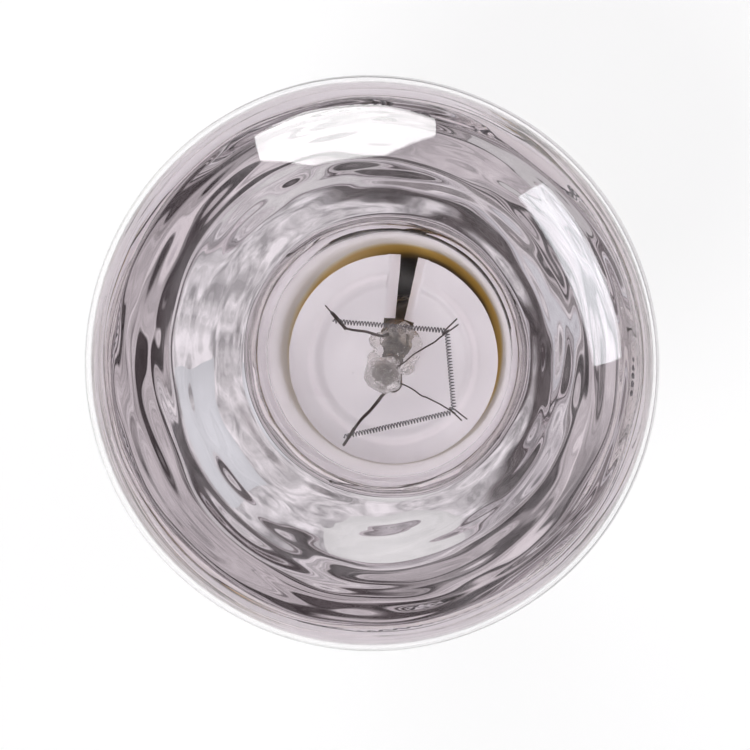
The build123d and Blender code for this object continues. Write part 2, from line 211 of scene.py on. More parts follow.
def tube(path: Sequence[Vector], radius: float, sides: int, end_share: float = 1.0) -> Shape:
    """Make a round wire along a path, with softened ends.

    Args:
        path: Points along the wire's middle.
        radius: The wire's radius where it starts.
        sides: Divisions round the wire.
        end_share: Share of the radius that is left where it ends.

    Returns:
        The wire.
    """
    ends = (path[1] - path[0]).normalized(), (path[-1] - path[-2]).normalized()
    tip = radius * TIP_LENGTH
    middle = [path[0] + ends[0] * tip, *path[1:-1], path[-1] - ends[1] * tip * end_share]
    stations = [(path[0], TIP_SHARE), *[(point, 1.0) for point in middle], (path[-1], TIP_SHARE)]
    across = ends[0].orthogonal().normalized()
    turns = [tau * step / sides for step in range(sides)]
    rings = []
    for index, (point, swell) in enumerate(stations):
        before = stations[max(index - 1, 0)][0]
        after = stations[min(index + 1, len(stations) - 1)][0]
        along = (after - before).normalized()
        across = (across - along * across.dot(along)).normalized()
        other = along.cross(across)
        reach = radius * swell * (1 + (end_share - 1) * index / (len(stations) - 1))
        rings.append([point + (across * cos(turn) + other * sin(turn)) * reach for turn in turns])
    return loft(rings)


def crooked(path: Sequence[Vector], amount: float, grain: float, seed: float) -> list[Vector]:
    """Bend a hand-set wire a little off its line, but not at its ends.

    Args:
        path: Points along the wire.
        amount: Furthest shift, in millimetres.
        grain: Length of the bends, in millimetres.
        seed: Offset that gives each wire its own bends.

    Returns:
        The shifted points.
    """
    shift = Vector((seed, 3 * seed, -seed))
    last = len(path) - 1
    return [point + noise.noise_vector(point / grain + shift) * amount * sin(pi * index / last)
            for index, point in enumerate(path)]


def bent(points: Sequence[Vector], bends: Sequence[float], spacing: float) -> list[Vector]:
    """Run straight between points with a round bend at each inner one.

    Args:
        points: Corners of the wire.
        bends: Bend radius at each inner corner.
        spacing: Distance between the path's points.

    Returns:
        Points along the bent wire.
    """
    stops = [points[0]]
    for corner, bend, before, after in zip(points[1:], bends, points, points[2:]):
        back = (before - corner).normalized()
        ahead = (after - corner).normalized()
        half = back.angle(ahead) / 2
        setback = bend * cos(half) / sin(half)
        inward = (back + ahead).normalized()
        centre = corner + inward * bend / sin(half)
        start = corner + back * setback - centre
        end = corner + ahead * setback - centre
        count = max(4, ceil(start.angle(end) * bend / spacing))
        stops.extend(centre + start.slerp(end, step / count) for step in range(count + 1))
    stops.append(points[-1])
    path = [stops[0]]
    for start, end in zip(stops, stops[1:]):
        count = max(1, ceil((end - start).length / spacing))
        path.extend(start.lerp(end, step / count) for step in range(1, count + 1))
    return path


def rounded(section: Sequence[tuple[float, float]], radii: Sequence[float], steps: int = 6) -> Section:
    """Round the corners of a closed half section.

    Args:
        section: Corner points as (radius, height).
        radii: Corner radius at each point; nought keeps it sharp.
        steps: Points along each rounded corner.

    Returns:
        The section with arcs in place of its corners.
    """
    points = [Vector(point) for point in section]
    result: Section = []
    for index, (corner, radius) in enumerate(zip(points, radii)):
        if radius == 0:
            result.append(tuple(corner))
            continue
        back = (points[index - 1] - corner).normalized()
        ahead = (points[(index + 1) % len(points)] - corner).normalized()
        half = back.angle(ahead) / 2
        centre = corner + (back + ahead).normalized() * radius / sin(half)
        start = corner + back * radius * cos(half) / sin(half) - centre
        end = corner + ahead * radius * cos(half) / sin(half) - centre
        for step in range(steps + 1):
            result.append(tuple(centre + start.slerp(end, step / steps)))
    return result


def half_round(steps: int) -> Section:
    """Return the half section of a ball of radius one, from its lowest point to its highest."""
    return [(sin(pi * step / steps), -cos(pi * step / steps)) for step in range(steps + 1)]


def smooth_step(low: float, high: float, value: float) -> float:
    """Rise smoothly from nought at low to one at high."""
    share = min(max((value - low) / (high - low), 0.0), 1.0)
    return share * share * (3 - 2 * share)


def set_down(mesh: bpy.types.Mesh, material: bpy.types.Material, slot: Slot, *nodes: str) -> bpy.types.Object:
    """Put a mesh in the scene as a piece of the lamp.

    Args:
        mesh: The piece's mesh, named as the piece is.
        material: Its finish.
        slot: The record's slot that the finish belongs to; not used.
        nodes: CAD nodes that the piece stands for.

    Returns:
        The piece.
    """
    piece = bpy.data.objects.new(mesh.name, mesh)
    bpy.context.scene.collection.objects.link(piece)
    mesh.materials.clear()
    mesh.materials.append(material)
    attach(piece, BODY)
    if nodes:
        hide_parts(*nodes)
    LOG.info("%s: %d faces, for %s", piece.name, len(mesh.polygons), ", ".join(nodes) or "no CAD node")
    return piece


# Finishes


class Graph:
    """Adds and links the nodes of one tree."""

    def __init__(self, tree: bpy.types.NodeTree) -> None:
        """Start on a tree, which is emptied."""
        self.tree = tree
        tree.nodes.clear()

    def node(self, kind: str, **settings: object) -> bpy.types.Node:
        """Add a node.

        Args:
            kind: The node's type, without its ShaderNode prefix.
            settings: Properties of the node.

        Returns:
            The new node.
        """
        node = self.tree.nodes.new(kind if kind.startswith("NodeGroup") else f"ShaderNode{kind}")
        for name, value in settings.items():
            setattr(node, name, value)
        return node

    def put(self, node: bpy.types.Node, **values: object) -> bpy.types.Node:
        """Set input sockets by name, with spaces written as underscores; a socket as a value is linked.

        Args:
            node: The node whose inputs are set.
            values: Input names and their values or source sockets.

        Returns:
            The node.
        """
        for name, value in values.items():
            self.feed(node.inputs[name.replace("_", " ")], value)
        return node

    def link(self, source: bpy.types.NodeSocket, target: bpy.types.NodeSocket) -> None:
        """Link one socket to another."""
        self.tree.links.new(source, target)

    def feed(self, target: bpy.types.NodeSocket, value: object) -> None:
        """Link a socket to a target, or set the target to a plain value.

        Args:
            target: The input socket.
            value: A source socket or a plain value.
        """
        if isinstance(value, bpy.types.NodeSocket):
            self.link(value, target)
        else:
            target.default_value = value

    def math(self, operation: str, *values: object) -> bpy.types.NodeSocket:
        """Work out a number.

        Args:
            operation: What the Math node does.
            values: Sockets or plain numbers, in order.

        Returns:
            The result.
        """
        node = self.node("Math", operation=operation)
        for socket, value in zip(node.inputs, values):
            self.feed(socket, value)
        return node.outputs[0]

    def vector(self, operation: str, *values: object) -> bpy.types.Node:
        """Work out a vector, or a number from vectors.

        Args:
            operation: What the Vector Math node does.
            values: Sockets or plain vectors, in order.

        Returns:
            The node, whose outputs are Vector and Value.
        """
        node = self.node("VectorMath", operation=operation)
        for socket, value in zip(node.inputs, values):
            self.feed(socket, value)
        return node

    def blend(self, share: bpy.types.NodeSocket, first: object, second: object) -> bpy.types.NodeSocket:
        """Mix two colours.

        Args:
            share: How much of the second colour shows.
            first: Socket or value of the first colour.
            second: Socket or value of the second colour.

        Returns:
            The mixed colour.
        """
        node = self.node("Mix", data_type="RGBA")
        colours = [socket for socket in node.inputs if socket.type == "RGBA"]
        for socket, value in zip((node.inputs[0], *colours), (share, first, second)):
            self.feed(socket, value)
        return next(socket for socket in node.outputs if socket.type == "RGBA")

    def mix_shaders(self, share: bpy.types.NodeSocket, first: bpy.types.Node,
                    second: bpy.types.Node) -> bpy.types.NodeSocket:
        """Mix two shaders.

        Args:
            share: How much of the second shader shows.
            first: Node of the first shader.
            second: Node of the second shader.

        Returns:
            The mixed shader.
        """
        node = self.node("MixShader")
        for socket, value in zip(node.inputs, (share, first.outputs[0], second.outputs[0])):
            self.link(value, socket)
        return node.outputs[0]

    def ramp(self, value: bpy.types.NodeSocket, stops: Sequence[tuple[float, Colour]]) -> bpy.types.NodeSocket:
        """Turn a value into a colour.

        Args:
            value: The value, from nought to one.
            stops: Positions and colours, in rising order.

        Returns:
            The colour.
        """
        node = self.node("ValToRGB")
        self.link(value, node.inputs[0])
        marks = node.color_ramp.elements
        while len(marks) < len(stops):
            marks.new(1.0)
        for mark, (position, colour) in zip(marks, stops):
            mark.position = position
            mark.color = (*colour, 1.0)
        return node.outputs[0]

    def group(self, effect: "Effect", **values: object) -> bpy.types.Node:
        """Place a shared effect with its own values."""
        return self.put(self.node("Group", node_tree=effect.tree()), **values)


class Effect(Enum):
    """Shared effects, each a node group that is built once."""

    RIPPLE = "blown_ripple"
    GRAIN = "grain"
    MARKS = "handling_marks"
    FADE = "height_fade"
    TARNISH = "tarnish"

    def tree(self) -> bpy.types.NodeTree:
        """Return the effect's node group, building it the first time."""
        kept = bpy.data.node_groups.get(self.value)
        if kept is not None:
            return kept
        tree = bpy.data.node_groups.new(self.value, "ShaderNodeTree")
        graph = Graph(tree)
        builders = {
            Effect.RIPPLE: self._ripple,
            Effect.GRAIN: self._grain,
            Effect.MARKS: self._marks,
            Effect.FADE: self._fade,
            Effect.TARNISH: self._tarnish,
        }
        builders[self](tree, graph)
        return tree

    @staticmethod
    def _sockets(tree: bpy.types.NodeTree, graph: Graph, inputs: dict[str, object],
                 outputs: dict[str, str]) -> tuple[bpy.types.Node, bpy.types.Node]:
        """Make a group's sockets and its two end nodes.

        Args:
            tree: The group.
            graph: The graph that works on it.
            inputs: Input names and default values; three numbers make a colour.
            outputs: Output names and socket types.

        Returns:
            The group's input and output nodes.
        """
        for name, value in inputs.items():
            kind = "NodeSocketColor" if isinstance(value, tuple) else "NodeSocketFloat"
            socket = tree.interface.new_socket(name, in_out="INPUT", socket_type=kind)
            socket.default_value = (*value, 1.0) if isinstance(value, tuple) else value
        for name, kind in outputs.items():
            tree.interface.new_socket(name, in_out="OUTPUT", socket_type=kind)
        return graph.node("NodeGroupInput"), graph.node("NodeGroupOutput")

    def _ripple(self, tree: bpy.types.NodeTree, graph: Graph) -> None:
        """Waves of glass blown in a turning mould: few round the axis, many along the wall."""
        inputs = {"Round": 2.0, "Along": 100.0, "Detail": 2.0}
        ends = self._sockets(tree, graph, inputs, {"Height": "NodeSocketFloat"})
        place = graph.node("TexCoord")
        parts = graph.put(graph.node("SeparateXYZ"), Vector=place.outputs["Object"])
        flat = graph.put(graph.node("CombineXYZ"), X=parts.outputs["X"], Y=parts.outputs["Y"])
        turned = graph.vector("NORMALIZE", flat.outputs[0])
        spread = graph.put(graph.vector("SCALE", turned.outputs[0]), Scale=ends[0].outputs["Round"])
        width = graph.vector("LENGTH", flat.outputs[0])
        wall = graph.math("ADD", parts.outputs["Z"], width.outputs["Value"])
        rise = graph.math("MULTIPLY", wall, ends[0].outputs["Along"])
        lifted = graph.put(graph.node("CombineXYZ"), Z=rise)
        waved = graph.vector("ADD", spread.outputs[0], lifted.outputs[0])
        waves = graph.node("TexNoise")
        graph.put(waves, Vector=waved.outputs[0], Scale=1.0, Detail=ends[0].outputs["Detail"], Roughness=0.45)
        graph.put(ends[1], Height=waves.outputs[0])

    def _grain(self, tree: bpy.types.NodeTree, graph: Graph) -> None:
        """Even lumps with no direction."""
        ends = self._sockets(tree, graph, {"Scale": 500.0}, {"Height": "NodeSocketFloat"})
        place = graph.node("TexCoord")
        lumps = graph.node("TexNoise")
        graph.put(lumps, Vector=place.outputs["Object"], Scale=ends[0].outputs["Scale"], Detail=3.0)
        graph.put(ends[1], Height=lumps.outputs[0])

    def _marks(self, tree: bpy.types.NodeTree, graph: Graph) -> None:
        """Patchy change of roughness from handling and wiping."""
        inputs = {"Scale": 200.0, "Low": 0.1, "High": 0.3}
        ends = self._sockets(tree, graph, inputs, {"Roughness": "NodeSocketFloat"})
        place = graph.node("TexCoord")
        patches = graph.node("TexNoise")
        graph.put(patches, Vector=place.outputs["Object"], Scale=ends[0].outputs["Scale"], Detail=5.0)
        spread = graph.node("MapRange")
        graph.put(spread, Value=patches.outputs[0], From_Min=0.3, From_Max=0.7)
        graph.put(spread, To_Min=ends[0].outputs["Low"], To_Max=ends[0].outputs["High"])
        graph.put(ends[1], Roughness=spread.outputs[0])

    def _fade(self, tree: bpy.types.NodeTree, graph: Graph) -> None:
        """Mask that rises evenly with height between two levels, with an uneven edge."""
        inputs = {"Low": 0.0, "High": 0.01, "Uneven": 0.001, "Scale": 80.0}
        ends = self._sockets(tree, graph, inputs, {"Mask": "NodeSocketFloat"})
        place = graph.node("TexCoord")
        height = graph.put(graph.node("SeparateXYZ"), Vector=place.outputs["Object"])
        patches = graph.node("TexNoise")
        graph.put(patches, Vector=place.outputs["Object"], Scale=ends[0].outputs["Scale"], Detail=3.0)
        centred = graph.math("SUBTRACT", patches.outputs[0], 0.5)
        pushed = graph.math("MULTIPLY_ADD", centred, ends[0].outputs["Uneven"], height.outputs["Z"])
        mask = graph.node("MapRange")
        graph.put(mask, Value=pushed, From_Min=ends[0].outputs["Low"], From_Max=ends[0].outputs["High"])
        graph.put(ends[1], Mask=mask.outputs[0])

    def _tarnish(self, tree: bpy.types.NodeTree, graph: Graph) -> None:
        """Clean colour that turns to a stained one in soft patches."""
        inputs = {"Clean": (0.8, 0.8, 0.8), "Stained": (0.5, 0.5, 0.5), "Scale": 150.0, "Amount": 0.5}
        ends = self._sockets(tree, graph, inputs, {"Color": "NodeSocketColor"})
        place = graph.node("TexCoord")
        patches = graph.node("TexNoise")
        graph.put(patches, Vector=place.outputs["Object"], Scale=ends[0].outputs["Scale"], Detail=6.0)
        spread = graph.node("MapRange")
        graph.put(spread, Value=patches.outputs[0], From_Min=0.35, From_Max=0.7)
        share = graph.math("MULTIPLY", spread.outputs[0], ends[0].outputs["Amount"])
        graph.put(ends[1], Color=graph.blend(share, ends[0].outputs["Clean"], ends[0].outputs["Stained"]))


@dataclass(frozen=True)
class Finish:
    """A surface finish that makes one material."""

    name: str

    def material(self) -> bpy.types.Material:
        """Return the finish's material, making it the first time."""
        name = f"lamp_{self.name}"
        kept = bpy.data.materials.get(name)
        if kept is not None:
            return kept
        material = bpy.data.materials.new(name)
        material.use_nodes = True
        graph = Graph(material.node_tree)
        surface = graph.node("BsdfPrincipled")
        output = graph.node("OutputMaterial")
        graph.link(self.dress(graph, surface), output.inputs["Surface"])
        return material

    def dress(self, graph: Graph, surface: bpy.types.Node) -> bpy.types.NodeSocket:
        """Set the surface's sockets and return the shader that the material puts out."""
        return surface.outputs["BSDF"]

    def bump(self, graph: Graph, surface: bpy.types.Node, height: bpy.types.NodeSocket, depth: float) -> None:
        """Feed a height to the surface's normal.

        Args:
            graph: The material's graph.
            surface: The Principled node.
            height: Height socket, from nought to one.
            depth: What a height of one stands for, in millimetres.
        """
        bump = graph.node("Bump")
        graph.put(bump, Height=height, Distance=depth * MM)
        graph.put(surface, Normal=bump.outputs[0])


@dataclass(frozen=True)
class ClearGlass(Finish):
    """Clear glass that lets lamps shine through it."""

    tint: Colour = (0.985, 0.975, 0.983)
    effect: Effect = Effect.RIPPLE
    values: tuple[tuple[str, float], ...] = (("Round", 1.6), ("Along", 90.0))
    depth: float = 0.03
    clearness: float = 1.0

    def dress(self, graph: Graph, surface: bpy.types.Node) -> bpy.types.NodeSocket:
        """Set clear glass with an uneven skin, and let shadow rays through."""
        graph.put(surface, Base_Color=(*self.tint, 1.0), Roughness=0.0, IOR=1.5)
        graph.put(surface, Transmission_Weight=self.clearness)
        skin = graph.group(self.effect, **dict(self.values))
        self.bump(graph, surface, skin.outputs["Height"], self.depth)
        rays = graph.node("LightPath")
        through = graph.put(graph.node("BsdfTransparent"), Color=(*self.tint, 1.0))
        return graph.mix_shaders(rays.outputs["Is Shadow Ray"], surface, through)


@dataclass(frozen=True)
class MirrorFilm(Finish):
    """Bright metal film that turns dull, amber and then dark where it runs down the neck; the dark end is
    painted shade, and the neck carries a painted glow.
    """

    low: float = 50.0
    high: float = 100.0
    # The film's own colours, amber where it thins in the neck; the near-black at the lowest heights is painted
    # shade of the neck under the shield
    colours: tuple[tuple[float, Colour], ...] = (
        (50.0, (0.02, 0.013, 0.005)),
        (56.0, (0.1, 0.058, 0.012)),
        (62.0, (0.55, 0.33, 0.06)),
        (71.0, (0.7, 0.46, 0.11)),
        (74.0, (0.8, 0.68, 0.42)),
        (77.0, (0.86, 0.83, 0.82)),
        (88.0, (0.86, 0.83, 0.84)),
        (95.0, (0.89, 0.87, 0.88)),
    )
    # Painted glow: emission that stands in for outside light coming through the film's thin end, amber low in
    # the neck and pale higher up
    glow: tuple[tuple[float, Colour], ...] = (
        (50.0, (0.0, 0.0, 0.0)),
        (58.0, (0.05, 0.028, 0.003)),
        (66.0, (0.13, 0.078, 0.012)),
        (72.0, (0.15, 0.1, 0.03)),
        (76.0, (0.16, 0.15, 0.146)),
        (89.0, (0.16, 0.15, 0.154)),
        (95.0, (0.0, 0.0, 0.0)),
    )
    uneven: float = 5.0
    mirror_low: float = 89.0
    mirror_high: float = 95.0
    mirror_uneven: float = 4.0
    dull_metallic: float = 0.15
    dull_roughness: float = 0.55
    ripple_round: float = 1.5
    ripple_along: float = 85.0
    ripple_detail: float = 1.0
    ripple_depth: float = 0.6

    def stops(self, levels: Sequence[tuple[float, Colour]]) -> list[tuple[float, Colour]]:
        """Turn heights into shares of the film's range."""
        return [((height - self.low) / (self.high - self.low), colour) for height, colour in levels]

    def dress(self, graph: Graph, surface: bpy.types.Node) -> bpy.types.NodeSocket:
        """Set a rippled mirror above and, below it, a dull deposit whose lowest part is painted shade and which
        carries a painted glow, an emission that stands in for light coming through the thin film.
        """
        level = graph.group(Effect.FADE, Low=self.low * MM, High=self.high * MM, Uneven=self.uneven * MM)
        # Colour with painted shade: near-black at the film's lowest heights
        colour_and_painted_shade = graph.ramp(level.outputs["Mask"], self.stops(self.colours))
        # Painted light: the glow colour feeds emission, so the film shines though it is no lamp
        painted_glow = graph.ramp(level.outputs["Mask"], self.stops(self.glow))
        graph.put(surface, Emission_Color=painted_glow, Emission_Strength=1.0)
        mirror = graph.group(Effect.FADE, Low=self.mirror_low * MM, High=self.mirror_high * MM,
                             Uneven=self.mirror_uneven * MM)
        shine = graph.node("MapRange")
        graph.put(shine, Value=mirror.outputs["Mask"], To_Min=self.dull_metallic, To_Max=1.0)
        rough = graph.node("MapRange")
        graph.put(rough, Value=mirror.outputs["Mask"], To_Min=self.dull_roughness, To_Max=0.0)
        graph.put(surface, Base_Color=colour_and_painted_shade, Metallic=shine.outputs[0], Roughness=rough.outputs[0])
        ripple = graph.group(Effect.RIPPLE, Round=self.ripple_round, Along=self.ripple_along,
                             Detail=self.ripple_detail)
        self.bump(graph, surface, ripple.outputs["Height"], self.ripple_depth)
        return surface.outputs["BSDF"]


@dataclass(frozen=True)
class WornMetal(Finish):
    """Metal with soft stains, patchy gloss and a faint grain."""

    clean: Colour = (0.8, 0.8, 0.8)
    stained: Colour = (0.6, 0.6, 0.6)
    stain_scale: float = 150.0
    stain_amount: float = 0.5
    gloss: tuple[float, float] = (0.15, 0.3)
    mark_scale: float = 260.0
    grain_scale: float = 500.0
    grain_depth: float = 0.01
    metallic: float = 1.0

    def dress(self, graph: Graph, surface: bpy.types.Node) -> bpy.types.NodeSocket:
        """Set stained metal with an uneven gloss."""
        colour = graph.group(Effect.TARNISH, Clean=(*self.clean, 1.0), Stained=(*self.stained, 1.0),
                             Scale=self.stain_scale, Amount=self.stain_amount)
        marks = graph.group(Effect.MARKS, Scale=self.mark_scale, Low=self.gloss[0], High=self.gloss[1])
        graph.put(surface, Base_Color=colour.outputs["Color"], Roughness=marks.outputs["Roughness"])
        graph.put(surface, Metallic=self.metallic)
        grain = graph.group(Effect.GRAIN, Scale=self.grain_scale)
        self.bump(graph, surface, grain.outputs["Height"], self.grain_depth)
        return surface.outputs["BSDF"]


BULB_GLASS = ClearGlass("bulb_glass")
STEM_GLASS = ClearGlass("stem_glass", tint=(0.9, 0.885, 0.875), effect=Effect.GRAIN,
                        values=(("Scale", 620.0),), depth=0.8, clearness=0.93)
FILM = MirrorFilm("mirror_film")
FILM_BACK = MirrorFilm(
    "film_back",
    low=34.0,
    colours=(
        (34.0, (0.2, 0.14, 0.08)),
        (40.0, (0.4, 0.34, 0.28)),
        (48.0, (0.6, 0.58, 0.58)),
        (100.0, (0.68, 0.665, 0.68)),
    ),
    glow=((34.0, (0.0, 0.0, 0.0)), (100.0, (0.0, 0.0, 0.0))),
    mirror_low=34.0,
    mirror_high=44.0,
    ripple_depth=0.12,
)
SHEET = WornMetal("bright_sheet", clean=(0.9, 0.868, 0.895), stained=(0.8, 0.765, 0.79), gloss=(0.3, 0.4),
                  stain_scale=60.0, mark_scale=90.0, grain_scale=900.0, grain_depth=0.004, metallic=0.35)
TUNGSTEN = WornMetal("filament_wire", clean=(0.2, 0.19, 0.2), stained=(0.1, 0.09, 0.1), gloss=(0.3, 0.5),
                     stain_scale=700.0, grain_scale=3000.0, grain_depth=0.01)
MOUNT_WIRE = WornMetal("support_wire", clean=(0.1, 0.08, 0.075), stained=(0.04, 0.03, 0.028),
                       gloss=(0.29, 0.46), stain_scale=600.0, grain_scale=3000.0, grain_depth=0.008)
COPPER = WornMetal("copper_wire", clean=(0.8, 0.42, 0.3), stained=(0.45, 0.2, 0.14), gloss=(0.29, 0.46),
                   stain_scale=500.0, grain_scale=3000.0, grain_depth=0.008)
BRASS = WornMetal("cap_brass", clean=(0.78, 0.64, 0.36), stained=(0.55, 0.4, 0.2), gloss=(0.29, 0.42),
                  stain_scale=120.0, stain_amount=0.6, grain_scale=1200.0, grain_depth=0.012)
SOLDER = WornMetal("solder", clean=(0.62, 0.62, 0.63), stained=(0.4, 0.4, 0.41), gloss=(0.29, 0.46),
                   stain_scale=500.0, grain_scale=900.0, grain_depth=0.03)
BLACK_GLASS = WornMetal("black_glass", clean=(0.012, 0.011, 0.016), stained=(0.03, 0.026, 0.035),
                        gloss=(0.04, 0.12), stain_scale=300.0, grain_scale=400.0, grain_depth=0.02,
                        metallic=0.0)
CEMENT = WornMetal("cement", clean=(0.62, 0.54, 0.42), stained=(0.45, 0.37, 0.27), gloss=(0.75, 0.95),
                   stain_scale=500.0, grain_scale=1800.0, grain_depth=0.12, metallic=0.0)


# Bulb


@dataclass
class Bulb:
    """The blown glass and the film on its inner wall: one chain of tangent arcs in half section."""

    face_radius: float = 95.0
    rim_radius: float = 20.0
    reflector_radius: float = 72.0
    waist_diameter: float = 61.8
    waist_depth: float = 74.0
    waist_radius: float = 7.0
    shoulder_radius: float = 14.0
    shoulder_slope: float = 60.0
    collar_radius: float = 4.0
    collar_height: float = 33.4
    neck_end_radius: float = 14.1
    wall: float = 1.2
    film_clearance: float = -0.04
    film_thickness: float = 0.08
    film_above_rim: float = 5.0
    film_low: float = 34.0
    segments: int = 480
    spacing: float = 1.9
    film_segments: int = 384
    film_spacing: float = 0.95
    arc_steps: int = 8
    straight_stretch: float = 1.2
    wander: float = 0.06
    wander_rise: float = 20.0
    # Each wave's share, count round the axis, twist with height and start
    waves: tuple[tuple[float, int, float, float], ...] = (
        (1.0, 3, 17.0, 0.0),
        (0.7, 5, -9.0, 1.0),
        (0.5, 2, 6.0, 2.0),
    )

    def __post_init__(self) -> None:
        """Read the outer sizes from the CAD envelope and solve the chain's centres."""
        low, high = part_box("bulb_envelope")
        self.length = high[2] / MM
        self.neck_end_height = low[2] / MM
        self.radius = high[0] / MM
        self.face_centre = Vector((0, self.length - self.face_radius))
        inset = self.radius - self.rim_radius
        rise = sqrt((self.face_radius - self.rim_radius) ** 2 - inset**2)
        self.rim_centre = self.face_centre + Vector((inset, rise))
        waist = self.waist_diameter / 2 + self.waist_radius
        self.waist_centre = Vector((waist, self.length - self.waist_depth))
        self.collar_centre = Vector((self.neck_end_radius + self.collar_radius, self.collar_height))
        between = self.waist_centre - self.rim_centre
        to_rim = self.reflector_radius - self.rim_radius
        to_waist = self.reflector_radius + self.waist_radius
        along = (to_rim**2 - to_waist**2 + between.length_squared) / (2 * between.length)
        axis = between.normalized()
        offset = Vector((axis.y, -axis.x)) * sqrt(to_rim**2 - along**2)
        self.reflector_centre = self.rim_centre + axis * along + offset
        slope = radians(self.shoulder_slope)
        self.shoulder_normal = Vector((cos(slope), -sin(slope)))
        to_shoulder = self.collar_radius + self.shoulder_radius
        self.shoulder_centre = self.collar_centre - self.shoulder_normal * to_shoulder
        neck = self.waist_centre - self.shoulder_centre
        angle = atan2(neck.y, neck.x) - acos((self.shoulder_radius + self.waist_radius) / neck.length)
        self.neck_normal = Vector((cos(angle), sin(angle)))

    @property
    def rim_height(self) -> float:
        """Height of the bulb's widest part."""
        return self.rim_centre.y

    def section(self, inset: float, spacing: float) -> Section:
        """Walk the wall from the middle of the face to the neck's end.

        Args:
            inset: Distance inward from the outside of the glass.
            spacing: Distance between points on the arcs.

        Returns:
            Points as (radius, height).
        """
        rim_normal = (self.rim_centre - self.face_centre).normalized()
        reflector_normal = (self.rim_centre - self.reflector_centre).normalized()
        waist_normal = (self.waist_centre - self.reflector_centre).normalized()
        up, out = Vector((0, 1)), Vector((1, 0))
        arcs = [
            (self.face_centre, self.face_radius - inset, up, rim_normal),
            (self.rim_centre, self.rim_radius - inset, rim_normal, reflector_normal),
            (self.reflector_centre, self.reflector_radius - inset, reflector_normal, waist_normal),
            (self.waist_centre, -self.waist_radius - inset, waist_normal, self.neck_normal),
            (self.shoulder_centre, self.shoulder_radius - inset, self.neck_normal, self.shoulder_normal),
            (self.collar_centre, -self.collar_radius - inset, self.shoulder_normal, out),
        ]
        stops: list[Vector] = []
        for centre, reach, first, last in arcs:
            sweep = first.angle(last)
            count = max(self.arc_steps, ceil(abs(reach) * sweep / spacing))
            stops.extend(centre + first.slerp(last, step / count) * reach for step in range(count + 1))
        stops.append(Vector((self.neck_end_radius - inset, self.neck_end_height)))
        points = [stops[0]]
        for before, after in zip(stops, stops[1:]):
            run = (after - before).length
            count = ceil(run / (self.straight_stretch * spacing))
            if run > 1e-4:
                points.extend(before.lerp(after, step / count) for step in range(1, count + 1))
        return [(max(point.x, 0.0), point.y) for point in points]

    def blown(self, angle: float, height: float) -> float:
        """Return how far the hand-blown wall strays from round at an angle and a height."""
        rise = smooth_step(self.collar_height, self.collar_height + self.wander_rise, height)
        waves = sum(share * sin(count * angle + height / twist + start)
                    for share, count, twist, start in self.waves)
        return self.wander * rise * waves

    def build(self) -> None:
        """Make the glass and the film and dress them."""
        outside = self.section(0.0, self.spacing)
        inside = self.section(self.wall, self.spacing)
        glass = lathe([*outside, *reversed(inside)], self.segments, closed=False, wander=self.blown)
        set_down(glass.mesh("bulb_glass", CREASE), BULB_GLASS.material(), Slot.CLEAR_GLASS, "bulb_envelope")
        back = self.film_line(self.wall + self.film_clearance)
        front = self.film_line(self.wall + self.film_clearance + self.film_thickness)
        film = lathe([*back, *reversed(front)], self.film_segments, wander=self.blown)
        mesh = film.mesh("mirror_film", CREASE)
        set_down(mesh, FILM.material(), Slot.MIRROR_FILM, "mirror_film")
        mesh.materials.append(FILM_BACK.material())
        for face in mesh.polygons:
            face.material_index = int(face.center.xy.dot(face.normal.xy) > 0)

    def film_line(self, inset: float) -> Section:
        """Cut the wall's section to the heights that the film covers."""
        high = self.rim_height + self.film_above_rim
        line = self.section(inset, self.film_spacing)
        return [point for point in line if self.film_low <= point[1] <= high]


# Filament mount


